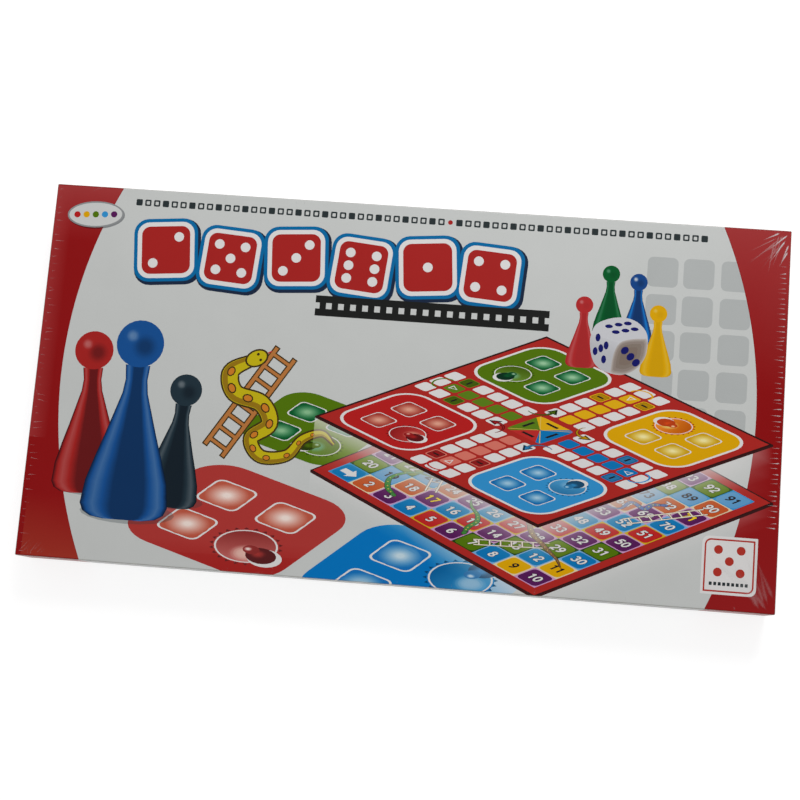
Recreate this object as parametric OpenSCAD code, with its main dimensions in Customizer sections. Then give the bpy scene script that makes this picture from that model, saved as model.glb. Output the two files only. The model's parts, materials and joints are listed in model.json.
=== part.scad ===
// Boxed snakes-and-ladders and ludo set: a wrapped card box with a lift-off lid,
// a folding board that is printed on both faces, and the playing pieces in a formed tray.
// Origin: centre of the underside. +X along the long side, +Y towards the top of the lid's print,
// +Z up. The board's fold lies along the +Y side.

/* [Board] */
// Side of the square board when it is open
board_side = 508; // [400:2:620]
// Greyboard core of each leaf
core_t = 1.8; // [1.2:0.1:3]
// Printed sheet on the outer face of each leaf
print_t = 0.2; // [0.1:0.05:0.4]
// Printed sheet on the inner face of each leaf
liner_t = 0.25; // [0.2:0.05:0.4]
// Bare margin round the inner sheet
liner_margin = 2; // [1:0.5:8]
// Radius of the board's outer corners
board_r = 3; // [1:0.5:10]
// Gap between the inner faces when the board is folded
fold_gap = 0.3; // [0.2:0.05:1]
// Half of the gap between the leaves when the board is open
spine_gap = 0.3; // [0.2:0.05:1]
// Width of the cloth tape on each leaf
tape_w = 14; // [6:1:30]
// Thickness of the cloth tape
tape_t = 0.1; // [0.05:0.05:0.15]

/* [Box] */
// Card of the lid and the base
card_t = 1.2; // [0.8:0.1:2.4]
// Paper that covers the lid and the base
paper_t = 0.15; // [0.1:0.05:0.3]
// How far the paper turns in at a rim
turn_in = 15; // [6:1:22]
// Radius of the box's upright edges
edge_r = 0.8; // [0.4:0.1:2]
// Clearance between the lid's walls and the base's walls
lid_fit = 0.5; // [0.3:0.1:1.5]
// Height of the lid's rim above the floor
rim_rise = 1; // [0.5:0.1:6]
// Clearance round the folded board
board_gap = 2.2; // [1.5:0.1:6]
// Clearance between flat faces that rest on one another
seat_gap = 0.1; // [0.05:0.05:0.3]
// Clearance above the folded board
head_gap = 0.25; // [0.15:0.05:1]

/* [Film] */
// Thickness of the shrink film
film_t = 0.05; // [0.03:0.01:0.1]
// Height of the film's creases over the print
film_slack = 0.25; // [0.1:0.05:0.5]
// Width of the cut round the lid's rim
slit = 0.2; // [0.1:0.05:0.4]

/* [Tray] */
// Clearance between the board and the tallest piece in the tray
well_clear = 0.8; // [0.4:0.1:16]
// Wall of the tray
tray_t = 0.5; // [0.3:0.1:1]
// Clearance between the tray and the base
tray_gap = 0.6; // [0.4:0.1:1.2]
// Radius of the tray's outer corners
tray_r = 5; // [2:0.5:15]
// Length of each well
well_l = 62; // [61:1:80]
// Width of each well
well_w = 52; // [50:1:90]
// Radius of each well's corners
well_r = 5; // [2:0.5:8]
// Distance between the wells' centres
well_pitch = 90; // [84:1:140]
// Gap between a well's wall and the pieces in it
well_edge = 2; // [1:0.1:3]

/* [Pawns] */
// Radius of a pawn's foot
pawn_r = 5.4; // [4.5:0.1:6]
// Height of a pawn
pawn_h = 24.5; // [20:0.5:26]
// Height of the foot's upright edge
foot_h = 1.2; // [0.8:0.1:3]
// Radius of the neck
neck_r = 1.4; // [1.1:0.1:2]
// Height of the neck's narrow part
neck_h = 1.6; // [1:0.1:3]
// Radius of the head
head_r = 3; // [2.5:0.1:3.6]
// Gap between pawns that stand side by side
pawn_gap = 2.4; // [0.5:0.1:2.6]

/* [Die] */
// Side of the die
die_side = 14; // [10:0.5:16]
// Radius of the ball that rounds the die's corners
die_ball_r = 9.9; // [9.4:0.1:11.4]
// Radius of a pip's hollow
pip_r = 1.4; // [0.8:0.1:1.8]
// Depth of a pip's hollow
pip_depth = 0.5; // [0.2:0.1:0.8]
// Distance between the pips' rows
pip_pitch = 3.6; // [2.6:0.1:4.2]

/* [Shaker] */
// Length of the shaker cup
cup_l = 42; // [24:1:50]
// Outer radius of the cup at its mouth
cup_mouth_r = 12.9; // [11:0.1:13]
// Outer radius of the cup at its foot
cup_foot_r = 11.2; // [8:0.1:12.5]
// Wall of the cup
cup_wall = 1.3; // [0.8:0.1:2]
// Radius of the round bead at the mouth
bead_r = 0.8; // [0.5:0.1:1.2]
// Gap under a curved piece that lies in a well
lie_gap = 0.2; // [0.1:0.05:0.4]

/* [Hidden] */
$fn = 48;
COLOURS = ["red", "green", "blue", "yellow"];
INKS = [[0.78, 0.09, 0.10], [0.13, 0.50, 0.24], [0.10, 0.33, 0.68], [0.93, 0.71, 0.12]];
PAWNS_PER_COLOUR = 4;
function pawn_name(c, i) = str("pawn_", COLOURS[c], "_", i + 1);

// Overrun of every cut past the face that it opens
over = card_t;

// Leaf of the board, half of the square less its share of the gap at the fold
leaf_l = board_side;
leaf_w = board_side / 2 - spine_gap;
fold_y = board_side / 4;
spine_y = fold_y - spine_gap;
leaf_t = print_t + core_t + liner_t;

// Plan sizes, each worked outwards from the folded board: [length, width]
function grown(size, by) = [size[0] + 2 * by, size[1] + 2 * by];
folded = [leaf_l, leaf_w + spine_gap];
tray_plan = grown(folded, board_gap - tray_gap);
base_room = grown(folded, board_gap + paper_t);
base_card = grown(base_room, card_t);
base_paper = grown(base_card, paper_t);
lid_room = grown(base_paper, lid_fit + paper_t);
lid_card = grown(lid_room, card_t);
lid_paper = grown(lid_card, paper_t);
film_room = grown(lid_paper, film_slack);
film_plan = grown(film_room, film_t);

// Heights, each worked upwards from the floor
floor_z = film_t + paper_t + card_t;
cup_rim_r = cup_mouth_r + bead_r;
tray_h = tray_t + max(pawn_h, die_side, lie_gap + 2 * cup_rim_r) + well_clear - seat_gap;
deck_z = floor_z + tray_h;
board_z = deck_z + seat_gap;
pivot_z = board_z + leaf_t + fold_gap / 2;
lid_under_z = board_z + 2 * leaf_t + fold_gap + head_gap;
base_rim_z = lid_under_z - seat_gap;
lid_card_z = lid_under_z + card_t;
lid_paper_z = lid_card_z + paper_t;
top_z = lid_paper_z + film_slack + film_t;

// Places in the wells
well_floor_z = floor_z + tray_t;
pawn_pitch = 2 * pawn_r + pawn_gap;
pawns_in_row = 4;
rows_in_well = 2;
cup_y = well_w / 2 - well_edge - cup_rim_r;
cup_z = well_floor_z + lie_gap + cup_rim_r;
cup_mouth_x = -well_l / 2 + well_edge;
bead_steps = 8;
die_x = -well_l / 2 + well_edge + die_side / 2;
die_y = -well_w / 2 + well_edge + die_side / 2;

// Pawn: how the flank narrows from the foot to the neck
flank_steps = 12;
flank_power = 0.85;
foot_bevel = foot_h / 4;
head_steps = 12;
head_z = pawn_h - head_r;
neck_z = head_z - sqrt(head_r * head_r - neck_r * neck_r) - neck_h;

// Die: the pips of each face, as steps of the pip pitch
PIP_STEPS = [
    [[0, 0]],
    [[-1, -1], [1, 1]],
    [[-1, -1], [0, 0], [1, 1]],
    [[-1, -1], [-1, 1], [1, -1], [1, 1]],
    [[-1, -1], [-1, 1], [0, 0], [1, -1], [1, 1]],
    [[-1, -1], [-1, 0], [-1, 1], [1, -1], [1, 0], [1, 1]]];
// Turn that brings the top of the die to each face, so that opposite faces add up to seven
FACE_TURNS = [[0, 0, 0], [90, 0, 0], [0, 90, 0], [0, -90, 0], [-90, 0, 0], [180, 0, 0]];
// Depth of the pip's centre below the face, so that the ball leaves the depth wanted
pip_lift = pip_r - pip_depth;

module block(size, h) {
    translate([-size[0] / 2, -size[1] / 2, 0]) cube([size[0], size[1], h]);
}

module rounded_block(size, h, r) {
    linear_extrude(h) {
        square([size[0] - 2 * r, size[1]], center = true);
        square([size[0], size[1] - 2 * r], center = true);
        for (sx = [-1, 1], sy = [-1, 1])
            translate([sx * (size[0] / 2 - r), sy * (size[1] / 2 - r)]) circle(r);
    }
}

// A lid-shaped card shell with its rim at z = 0
module card_shell(size, h) {
    difference() {
        rounded_block(size, h, edge_r);
        translate([0, 0, -over]) block(grown(size, -card_t), h - card_t + over);
    }
}

// Paper over such a shell: outside, under the rim and turned in behind it
module paper_skin(card, h) {
    opening = grown(card, -card_t - paper_t);
    difference() {
        rounded_block(grown(card, paper_t), h, edge_r + paper_t);
        translate([0, 0, paper_t]) rounded_block(card, h - 2 * paper_t, edge_r);
        translate([0, 0, -over]) block(opening, over + h / 2);
    }
    translate([0, 0, paper_t]) difference() {
        block(grown(opening, paper_t), turn_in);
        translate([0, 0, -over]) block(opening, turn_in + 2 * over);
    }
}

// Puts a lid-shaped piece upside down, with its rim at the height z
module rim_up(z) {
    translate([0, 0, z]) mirror([0, 0, 1]) children();
}

module lid_shell() {
    color([0.62, 0.59, 0.54])
        translate([0, 0, rim_rise + paper_t]) card_shell(lid_card, lid_card_z - rim_rise - paper_t);
}

module lid_wrap() {
    color([0.88, 0.89, 0.90])
        translate([0, 0, rim_rise]) paper_skin(lid_card, lid_paper_z - rim_rise);
}

module base_shell() {
    color([0.62, 0.59, 0.54])
        rim_up(base_rim_z - paper_t) card_shell(base_card, base_rim_z - 2 * paper_t - film_t);
}

module base_wrap() {
    color([0.80, 0.14, 0.15])
        rim_up(base_rim_z) paper_skin(base_card, base_rim_z - film_t);
}

module film_upper() {
    h = top_z - rim_rise;
    r = edge_r + paper_t + film_slack;
    color([0.90, 0.93, 0.95, 0.25]) translate([0, 0, rim_rise]) difference() {
        rounded_block(film_plan, h, r + film_t);
        translate([0, 0, -over]) rounded_block(film_room, h - film_t + over, r);
    }
}

module film_lower() {
    h = rim_rise - slit;
    r = edge_r + paper_t + film_slack;
    color([0.90, 0.93, 0.95, 0.25]) difference() {
        rounded_block(film_plan, h, r + film_t);
        translate([0, 0, film_t]) rounded_block(film_room, h, r);
    }
}

module well_outline(by, h) {
    rounded_block([well_l + 2 * by, well_w + 2 * by], h, well_r + by);
}

module insert_tray() {
    color([0.93, 0.93, 0.90]) translate([0, 0, floor_z]) difference() {
        union() {
            difference() {
                rounded_block(tray_plan, tray_h, tray_r);
                translate([0, 0, -over])
                    rounded_block(grown(tray_plan, -tray_t), tray_h - tray_t + over, tray_r - tray_t);
            }
            for (k = [-1 : 1])
                translate([k * well_pitch, 0, 0]) well_outline(tray_t, tray_h - tray_t / 2);
        }
        for (k = [-1 : 1])
            translate([k * well_pitch, 0, tray_t]) well_outline(0, tray_h + over);
    }
}

// Outline of a leaf that is inset along its three free sides, with the spine side square
module leaf_outline(inset, r) {
    l = leaf_l - 2 * inset;
    w = leaf_w - inset;
    translate([0, spine_y]) {
        translate([-l / 2, -w + r]) square([l, w - r]);
        translate([-l / 2 + r, -w]) square([l - 2 * r, r]);
        for (s = [-1, 1]) translate([s * (l / 2 - r), -w + r]) circle(r);
    }
}

// The lower leaf's sheets lie as modelled, and the upper leaf is their mirror in the fold
module on_leaf(upper) {
    translate([0, 0, upper ? 2 * pivot_z - board_z : board_z]) mirror([0, 0, upper ? 1 : 0]) children();
}

module board_wrap(upper) {
    color([0.79, 0.16, 0.17]) on_leaf(upper) difference() {
        linear_extrude(print_t + core_t) leaf_outline(0, board_r);
        translate([0, 0, print_t]) linear_extrude(core_t + over) leaf_outline(print_t, board_r - print_t);
    }
}

module board_core(upper) {
    color([0.62, 0.59, 0.54]) on_leaf(upper)
        translate([0, 0, print_t]) linear_extrude(core_t) leaf_outline(print_t, board_r - print_t);
}

module tape_strip() {
    translate([-leaf_l / 2 + liner_margin, spine_y - tape_w, print_t + core_t])
        cube([leaf_l - 2 * liner_margin, tape_w, tape_t]);
}

module board_liner(upper) {
    color([0.90, 0.86, 0.74]) on_leaf(upper) difference() {
        translate([0, 0, print_t + core_t]) linear_extrude(liner_t) leaf_outline(liner_margin, board_r);
        tape_strip();
    }
}

module hinge_tape(upper) {
    color([0.16, 0.17, 0.20]) on_leaf(upper) tape_strip();
}

function flank_r(s) = neck_r + (pawn_r - foot_bevel - neck_r) * pow((1 + cos(180 * s)) / 2, flank_power);
function flank_z(s) = foot_h + (neck_z - foot_h) * s;

module pawn() {
    neck_angle = asin(neck_r / head_r);
    rotate_extrude() polygon(concat(
        [[0, 0], [pawn_r - foot_bevel, 0], [pawn_r, foot_bevel], [pawn_r, foot_h - foot_bevel]],
        [for (k = [0 : flank_steps]) [flank_r(k / flank_steps), flank_z(k / flank_steps)]],
        [[neck_r, neck_z + neck_h]],
        [for (k = [1 : head_steps - 1])
            let (a = neck_angle + (180 - neck_angle) * k / head_steps)
            [head_r * sin(a), head_z - head_r * cos(a)]],
        [[0, pawn_h]]));
}

// Two colours share a well, one row each: red and green on the left, blue and yellow on the right
module pawn_in_well(c, i) {
    side = c < rows_in_well ? -1 : 1;
    row = c % rows_in_well;
    x = side * well_pitch + (i - (pawns_in_row - 1) / 2) * pawn_pitch;
    y = well_w / 2 - well_edge - pawn_r - row * pawn_pitch;
    color(INKS[c]) translate([x, y, well_floor_z]) pawn();
}

module die() {
    color([0.94, 0.94, 0.96]) translate([die_x, die_y, well_floor_z + die_side / 2]) difference() {
        intersection() {
            cube(die_side, center = true);
            sphere(die_ball_r);
        }
        for (face = [0 : len(FACE_TURNS) - 1], p = PIP_STEPS[face])
            rotate(FACE_TURNS[face])
                translate([p[0] * pip_pitch, p[1] * pip_pitch, die_side / 2 + pip_lift]) sphere(pip_r);
    }
}

module shaker_cup() {
    color([0.82, 0.13, 0.14]) translate([cup_mouth_x, cup_y, cup_z]) rotate([0, 90, 0])
        rotate_extrude() polygon(concat(
            [[0, cup_l - cup_wall], [cup_foot_r - cup_wall, cup_l - cup_wall], [cup_mouth_r - cup_wall, 0]],
            [for (k = [0 : bead_steps])
                let (a = -90 + 180 * k / bead_steps)
                [cup_mouth_r + bead_r * cos(a), bead_r + bead_r * sin(a)]],
            [[cup_foot_r, cup_l], [0, cup_l]]));
}

lid_shell();
lid_wrap();
film_upper();
film_lower();
base_shell();
base_wrap();
insert_tray();
board_core(false);  // board_core_lower
board_core(true);  // board_core_upper
board_wrap(false);  // board_wrap_lower
board_wrap(true);  // board_wrap_upper
board_liner(false);  // board_liner_lower
board_liner(true);  // board_liner_upper
hinge_tape(false);  // hinge_tape_lower
hinge_tape(true);  // hinge_tape_upper
die();
shaker_cup();
for (c = [0 : len(COLOURS) - 1], i = [0 : PAWNS_PER_COLOUR - 1])
    pawn_in_well(c, i);
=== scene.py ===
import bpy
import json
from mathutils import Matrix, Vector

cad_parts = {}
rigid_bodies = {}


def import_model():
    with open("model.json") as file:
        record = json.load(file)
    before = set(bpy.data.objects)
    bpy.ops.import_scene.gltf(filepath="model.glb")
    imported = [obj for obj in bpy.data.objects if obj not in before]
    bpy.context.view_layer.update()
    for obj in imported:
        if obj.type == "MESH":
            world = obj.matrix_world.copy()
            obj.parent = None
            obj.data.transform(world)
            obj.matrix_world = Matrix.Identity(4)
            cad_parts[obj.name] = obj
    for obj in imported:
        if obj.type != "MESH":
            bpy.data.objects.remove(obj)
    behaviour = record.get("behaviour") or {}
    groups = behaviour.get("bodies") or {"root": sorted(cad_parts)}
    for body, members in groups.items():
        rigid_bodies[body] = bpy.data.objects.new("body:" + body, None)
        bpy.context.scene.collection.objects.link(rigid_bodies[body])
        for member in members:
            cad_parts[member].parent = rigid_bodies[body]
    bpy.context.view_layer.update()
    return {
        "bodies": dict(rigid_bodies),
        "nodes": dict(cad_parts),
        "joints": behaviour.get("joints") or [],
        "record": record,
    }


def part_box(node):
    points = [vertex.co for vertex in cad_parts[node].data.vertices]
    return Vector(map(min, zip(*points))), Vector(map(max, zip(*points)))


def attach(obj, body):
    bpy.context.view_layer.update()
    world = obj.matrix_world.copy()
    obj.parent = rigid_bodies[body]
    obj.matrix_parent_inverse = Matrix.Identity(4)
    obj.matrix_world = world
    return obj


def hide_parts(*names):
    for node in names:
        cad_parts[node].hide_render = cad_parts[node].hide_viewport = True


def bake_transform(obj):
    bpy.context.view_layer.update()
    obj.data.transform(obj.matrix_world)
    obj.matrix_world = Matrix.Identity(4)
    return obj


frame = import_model()

import json
import math

import bmesh
import bpy
import numpy as np
from mathutils import Matrix, Vector, geometry

bl_info = {
    "name": "Boxed snakes and ladders set",
    "version": (1, 0, 0),
    "blender": (4, 5, 0),
    "location": "View3D > Sidebar > Board game",
    "description": "Prints, film, folding board, tray and playing pieces of a boxed board game",
    "category": "Object",
}

MM = 0.001
EDGE_BENDS = 5      # steps of each rounded edge
CORNER_BENDS = 6    # steps of each rounded corner
SUPPORT = 0.3       # mm between an edge and the line that keeps the flat beside it flat
PEAK = 0.15         # place of a film crease's highest point, as a share of its length
CARD = 1.2          # mm, thickness of the box's greyboard
CARD_ROUND = 0.8    # mm, radius of the greyboard's corners, seen from above
TURN_IN = 14.8      # mm of paper turned in behind the rim
JOIN = 2e-4         # units within which the splitting of a sheet takes two points as one
SLIVER = 1e-7       # twice the area under which a triangle is left out
MAP_EDGE = 0.002    # bare share at the edge of a piece's own map


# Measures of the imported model, in mm

def extent(node):
    """Lowest and highest corner of a CAD node, in mm."""
    low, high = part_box(node)
    return np.array(low) / MM, np.array(high) / MM


# Meshes

def make_piece(name, points, faces, finish, smooth=True):
    """A mesh object from points in mm and arrays of faces, each array with one number of corners."""
    mesh = bpy.data.meshes.new(name)
    points = np.asarray(points, float) * MM
    starts, corners = [], []
    at = 0
    for block in faces:
        block = np.asarray(block, np.int32)
        starts.append(at + np.arange(len(block)) * block.shape[1])
        corners.append(block.ravel())
        at += block.size
    starts, corners = np.concatenate(starts), np.concatenate(corners)
    mesh.vertices.add(len(points))
    mesh.vertices.foreach_set("co", points.astype(np.float32).ravel())
    mesh.loops.add(len(corners))
    mesh.loops.foreach_set("vertex_index", corners.astype(np.int32))
    mesh.polygons.add(len(starts))
    mesh.polygons.foreach_set("loop_start", starts.astype(np.int32))
    mesh.polygons.foreach_set("use_smooth", np.full(len(starts), smooth))
    mesh.update(calc_edges=True)
    piece = bpy.data.objects.new(name, mesh)
    bpy.context.scene.collection.objects.link(piece)
    mesh.materials.append(finish)
    return piece


def grid_faces(rows, columns, closed=False, start=0):
    """Quads between the rows and columns of a grid of points, joined round the columns if closed."""
    a = start + np.arange(rows * columns).reshape(rows, columns)
    if closed:
        a = np.hstack([a, a[:, :1]])
    return np.stack([a[:-1, :-1], a[:-1, 1:], a[1:, 1:], a[1:, :-1]], -1).reshape(-1, 4)


def weld(piece, gap=0.001):
    """Merges points nearer than gap mm, which closes seams and poles."""
    work = bmesh.new()
    work.from_mesh(piece.data)
    bmesh.ops.remove_doubles(work, verts=work.verts, dist=gap * MM)
    bmesh.ops.dissolve_degenerate(work, edges=work.edges, dist=gap * MM / 10)
    work.to_mesh(piece.data)
    work.free()


def add_thickness(piece, thickness):
    """A wall of that thickness in mm on the inner side of a formed sheet."""
    wall = piece.modifiers.new("Wall", "SOLIDIFY")
    wall.thickness, wall.offset = thickness * MM, -1.0


# Outlines of printed shapes: arrays of points in mm, or in the units of a motif

def arc(cx, cy, rx, ry, start, end, steps):
    """Points on an ellipse round (cx, cy) between two angles in degrees."""
    a = np.radians(np.linspace(start, end, steps + 1))
    return np.c_[cx + rx * np.cos(a), cy + ry * np.sin(a)]


def ring(cx, cy, rx, ry=None, steps=24):
    """A whole ellipse."""
    return arc(cx, cy, rx, rx if ry is None else ry, 0, 360, steps)[:-1]


def plate(cx, cy, hx, hy, r, steps=4):
    """A rectangle of half sizes hx, hy with arcs at its corners.

    r is the radius of all four, or one radius for each, from the upper right anticlockwise.
    """
    corners = [(1, 1, 0), (-1, 1, 90), (-1, -1, 180), (1, -1, 270)]
    return np.vstack([arc(cx + sx * (hx - q), cy + sy * (hy - q), q, q, a, a + 90, steps)
                      for (sx, sy, a), q in zip(corners, np.broadcast_to(r, 4))])


def block(x0, y0, x1, y1):
    """An upright rectangle between two corners."""
    return np.array([(x0, y0), (x1, y0), (x1, y1), (x0, y1)], float)


def ribbon(path, width):
    """A band along a path: each point is moved half the width to both sides, square to the path."""
    path = np.asarray(path, float)
    along = np.gradient(path, axis=0)
    along /= np.maximum(np.linalg.norm(along, axis=1, keepdims=True), 1e-9)
    aside = np.c_[-along[:, 1], along[:, 0]] * np.broadcast_to(width, len(path))[:, None] / 2
    return np.vstack([path - aside, (path + aside)[::-1]])


def through(points, steps=8, closed=False):
    """A smooth path through points: a Catmull-Rom curve with that many steps between two points."""
    p = np.asarray(points, float)
    p = np.vstack([p[-1:], p, p[:2]] if closed else [2 * p[0] - p[1], p, 2 * p[-1] - p[-2]])
    t = np.linspace(0, 1, steps, endpoint=False)[None, :, None]
    a, b, c, d = p[:-3, None], p[1:-2, None], p[2:-1, None], p[3:, None]
    curve = 0.5 * (2 * b + (c - a) * t + (2 * a - 5 * b + 4 * c - d) * t ** 2
                   + (3 * b - a - 3 * c + d) * t ** 3).reshape(-1, 2)
    return curve if closed else np.vstack([curve, p[-2]])


def bow(first, middle, last, steps):
    """The arc of the circle through three points, from the first to the last."""
    (ax, ay), (bx, by), (cx, cy) = first, middle, last
    turn = 2 * (ax * (by - cy) + bx * (cy - ay) + cx * (ay - by))
    sa, sb, sc = ax * ax + ay * ay, bx * bx + by * by, cx * cx + cy * cy
    x = (sa * (by - cy) + sb * (cy - ay) + sc * (ay - by)) / turn
    y = (sa * (cx - bx) + sb * (ax - cx) + sc * (bx - ax)) / turn
    r = math.hypot(ax - x, ay - y)
    angles = [math.degrees(math.atan2(q - y, p - x)) for p, q in (first, last)]
    if abs(angles[1] - angles[0]) > 180:
        angles[0 if angles[0] < angles[1] else 1] += 360
    return arc(x, y, r, r, *angles, steps)


# Inks: functions from points to red, green, blue and cover

def flat(colour, cover=1.0):
    """The same colour everywhere."""
    value = np.array([*colour[:3], cover])
    return lambda points: np.broadcast_to(value, (len(points), 4))


def fade(start, end, first, last, cover=(1.0, 1.0)):
    """Changes evenly from the first colour at start to the last at end."""
    start, way = np.array(start, float), np.array(end, float) - np.array(start, float)
    a, b = np.array([*first[:3], cover[0]]), np.array([*last[:3], cover[1]])

    def ink(points):
        share = np.clip((points - start) @ way / (way @ way), 0, 1)[:, None]
        return a + (b - a) * share
    return ink


def glow(cx, cy, reach, inner, outer, cover=(1.0, 1.0), even=False):
    """Changes from the inner colour to the outer at that reach, evenly or more slowly near both ends."""
    a, b = np.array([*inner[:3], cover[0]]), np.array([*outer[:3], cover[1]])

    def ink(points):
        share = np.clip(np.hypot(points[:, 0] - cx, points[:, 1] - cy) / reach, 0, 1)[:, None]
        return a + (b - a) * (share if even else share * share * (3 - 2 * share))
    return ink


def mixed(one, other, share):
    """A colour between two others."""
    return tuple(np.array(one[:3]) * (1 - share) + np.array(other[:3]) * share)


def placed(x_axis, y_axis, origin):
    """The map that takes (1, 0) along x_axis and (0, 1) along y_axis, from that origin."""
    return np.array([*zip(x_axis, y_axis, origin), (0, 0, 1)], float)


def turned(degrees, origin=(0, 0), scale=1.0):
    """The map that turns, scales and then moves to the origin."""
    c, s = math.cos(math.radians(degrees)) * scale, math.sin(math.radians(degrees)) * scale
    return placed((c, s), (-s, c), origin)


class Artwork:
    """Flat shapes in the order in which they are printed, each an outline and an ink."""

    def __init__(self, shapes=None, place=None):
        self.shapes = [] if shapes is None else shapes
        self.place = np.eye(3) if place is None else place

    def at(self, place):
        """The same artwork, drawn on through a further map."""
        return Artwork(self.shapes, self.place @ place)

    def to(self, x, y):
        """The same artwork, drawn on from another origin."""
        return self.at(turned(0, (x, y)))

    def plates(self, x, y, *layers, steps=4):
        """Rounded squares over one another, each as half its width, its radius and its colour."""
        for half, radius, colour in layers:
            self.add(plate(x, y, half, half, radius, steps), flat(colour))

    def add(self, outline, ink):
        """Adds a shape. Its ink is read in the shape's own units."""
        outline = np.asarray(outline, float)
        flat_outline = outline @ self.place[:2, :2].T + self.place[:2, 2]
        x, y = flat_outline.T
        if (x * np.roll(y, -1) - y * np.roll(x, -1)).sum() < 0:
            flat_outline = flat_outline[::-1]
        self.shapes.append((flat_outline, ink, np.linalg.inv(self.place)))

    def glowing(self, cx, cy, reach, inner, outer, cover=(1.0, 1.0), rings=4, squeeze=1.0, even=False):
        """A round glow as rings inside one another, so that the change of colour is smooth."""
        ink = glow(cx, cy, reach, inner, outer, cover, even)
        for k in range(rings, 0, -1):
            self.add(ring(cx, cy, reach * k / rings, reach * k / rings * squeeze, 20), ink)


# Sheets that fold over the edges of a rectangle

class Net:
    """A sheet that is flat over a rectangle and folds over its edges.

    profile is a list of (inset, height) from the flat face outwards, where inset is measured inwards from
    the outer rectangle. A point of the flat sheet that lies t beyond the core rectangle, in the direction
    n, comes to rest at the inset and height that the profile has at length t, moved along n. Corners turn
    with the radius less the inset, and are square where the inset is more than the radius. With spine, the
    side towards +Y has no fold and the sheet ends there.
    """

    def __init__(self, low, high, radius, profile, facing=1, spine=False):
        profile = np.asarray(profile, float)
        self.radius, self.facing, self.spine = radius, facing, spine
        self.inset, self.height = profile.T
        self.along = np.r_[0, np.cumsum(np.linalg.norm(np.diff(profile, axis=0), axis=1))]
        self.reach = self.along[-1]
        self.low = np.array(low[:2], float) + radius
        self.high = np.array(high[:2], float) - radius * np.array([1, 0 if spine else 1])

    def fold(self, points):
        """Where the points of the flat sheet lie, in mm."""
        core = np.clip(points, self.low, self.high)
        away = points - core
        t = np.linalg.norm(away, axis=1)
        way = away / np.maximum(t, 1e-9)[:, None]
        inset, height = np.interp(t, self.along, self.inset), np.interp(t, self.along, self.height)
        over = np.maximum(inset - self.radius, 0)[:, None]
        core = np.clip(core, self.low + over, self.high - over * np.array([1, 0 if self.spine else 1]))
        return np.c_[core + way * np.maximum(self.radius - inset, 0)[:, None], height]

    def hem(self, t):
        """The line that lies t beyond the core, or inside it where t is negative, anticlockwise."""
        (x0, y0), (x1, y1) = self.low, self.high
        if t <= 0:
            top = y1 if self.spine else y1 + t
            return block(x0 - t, y0 - t, x1 + t, top)
        low_corners = [arc(x0, y0, t, t, 180, 270, CORNER_BENDS), arc(x1, y0, t, t, 270, 360, CORNER_BENDS)]
        if self.spine:
            return np.vstack([[(x0 - t, y1)], *low_corners, [(x1 + t, y1)]])
        return np.vstack([*low_corners, arc(x1, y1, t, t, 0, 90, CORNER_BENDS),
                          arc(x0, y1, t, t, 90, 180, CORNER_BENDS)])

    def creases(self):
        """Lines of the flat sheet along which the mesh needs an edge: its bends and its corners' fans."""
        lines = [np.vstack([loop, loop[:1]]) for loop in
                 (self.hem(t) for t in np.r_[-SUPPORT, self.along[:-1]])]
        corners = [(self.low[0], self.low[1], 180), (self.high[0], self.low[1], 270)]
        if not self.spine:
            corners += [(self.high[0], self.high[1], 0), (self.low[0], self.high[1], 90)]
        for x, y, start in corners:
            lines += [np.array([(x, y), end]) for end in
                      arc(x, y, self.reach, self.reach, start, start + 90, CORNER_BENDS)]
        return lines


def rounded_edge(radius, start, turn_start, turn_end):
    """A quarter or half round of a profile about its centre, start, as (inset, height) points."""
    a = np.radians(np.linspace(turn_start, turn_end, EDGE_BENDS + 1))
    return np.c_[start[0] + radius * np.cos(a), start[1] + radius * np.sin(a)]


def split_sheet(outline, lines, shapes, outside=()):
    """Splits a flat sheet along lines and the outlines of shapes, by constrained triangulation.

    Returns the points, the triangles, and for every corner the colour that the shapes print there one over
    another. A triangle that lies outside the outline, or inside one of the outside loops, is left out.
    """
    coords, edges, faces = [], [], []

    def put(points):
        first = len(coords)
        coords.extend(map(Vector, np.asarray(points, float).tolist()))
        return list(range(first, len(coords)))

    for loop in (outline, *outside, *(s[0] for s in shapes)):
        faces.append(put(loop))
    for line in lines:
        ids = put(line)
        edges.extend(zip(ids[:-1], ids[1:]))
    points, _, triangles, _, _, owners = geometry.delaunay_2d_cdt(coords, edges, faces, 0, JOIN, True)
    points, triangles = np.array([tuple(p) for p in points]), np.array(triangles, np.int64)
    owner = np.concatenate([np.asarray(o, np.int64) for o in owners])
    row = np.repeat(np.arange(len(triangles)), [len(o) for o in owners])
    kept = np.zeros(len(triangles), bool)
    kept[row[owner == 0]] = True
    kept[row[(owner > 0) & (owner <= len(outside))]] = False
    a, b, c = (points[triangles[:, k]] for k in range(3))
    kept &= np.abs((b - a)[:, 0] * (c - a)[:, 1] - (b - a)[:, 1] * (c - a)[:, 0]) > SLIVER
    order = np.argsort(owner, kind="stable")
    owner, row = owner[order], row[order]
    first = np.searchsorted(owner, np.arange(len(shapes) + 1) + 1 + len(outside))
    ink = np.zeros((len(triangles), 3, 3))
    for k, (_, paint, back) in enumerate(shapes):
        rows = row[first[k]:first[k + 1]]
        if len(rows):
            at = points[triangles[rows]].reshape(-1, 2) @ back[:2, :2].T + back[:2, 2]
            colour = paint(at).reshape(-1, 3, 4)
            cover = colour[..., 3:]
            ink[rows] = ink[rows] * (1 - cover) + colour[..., :3] * cover
    triangles, ink = triangles[kept], ink[kept]
    used, triangles = np.unique(triangles, return_inverse=True)
    return points[used], triangles.reshape(-1, 3), ink


def to_light(colour):
    """Screen colour to light: the sRGB curve."""
    colour = np.asarray(colour, float)
    return np.where(colour <= 0.04045, colour / 12.92, ((colour + 0.055) / 1.055) ** 2.4)


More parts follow.
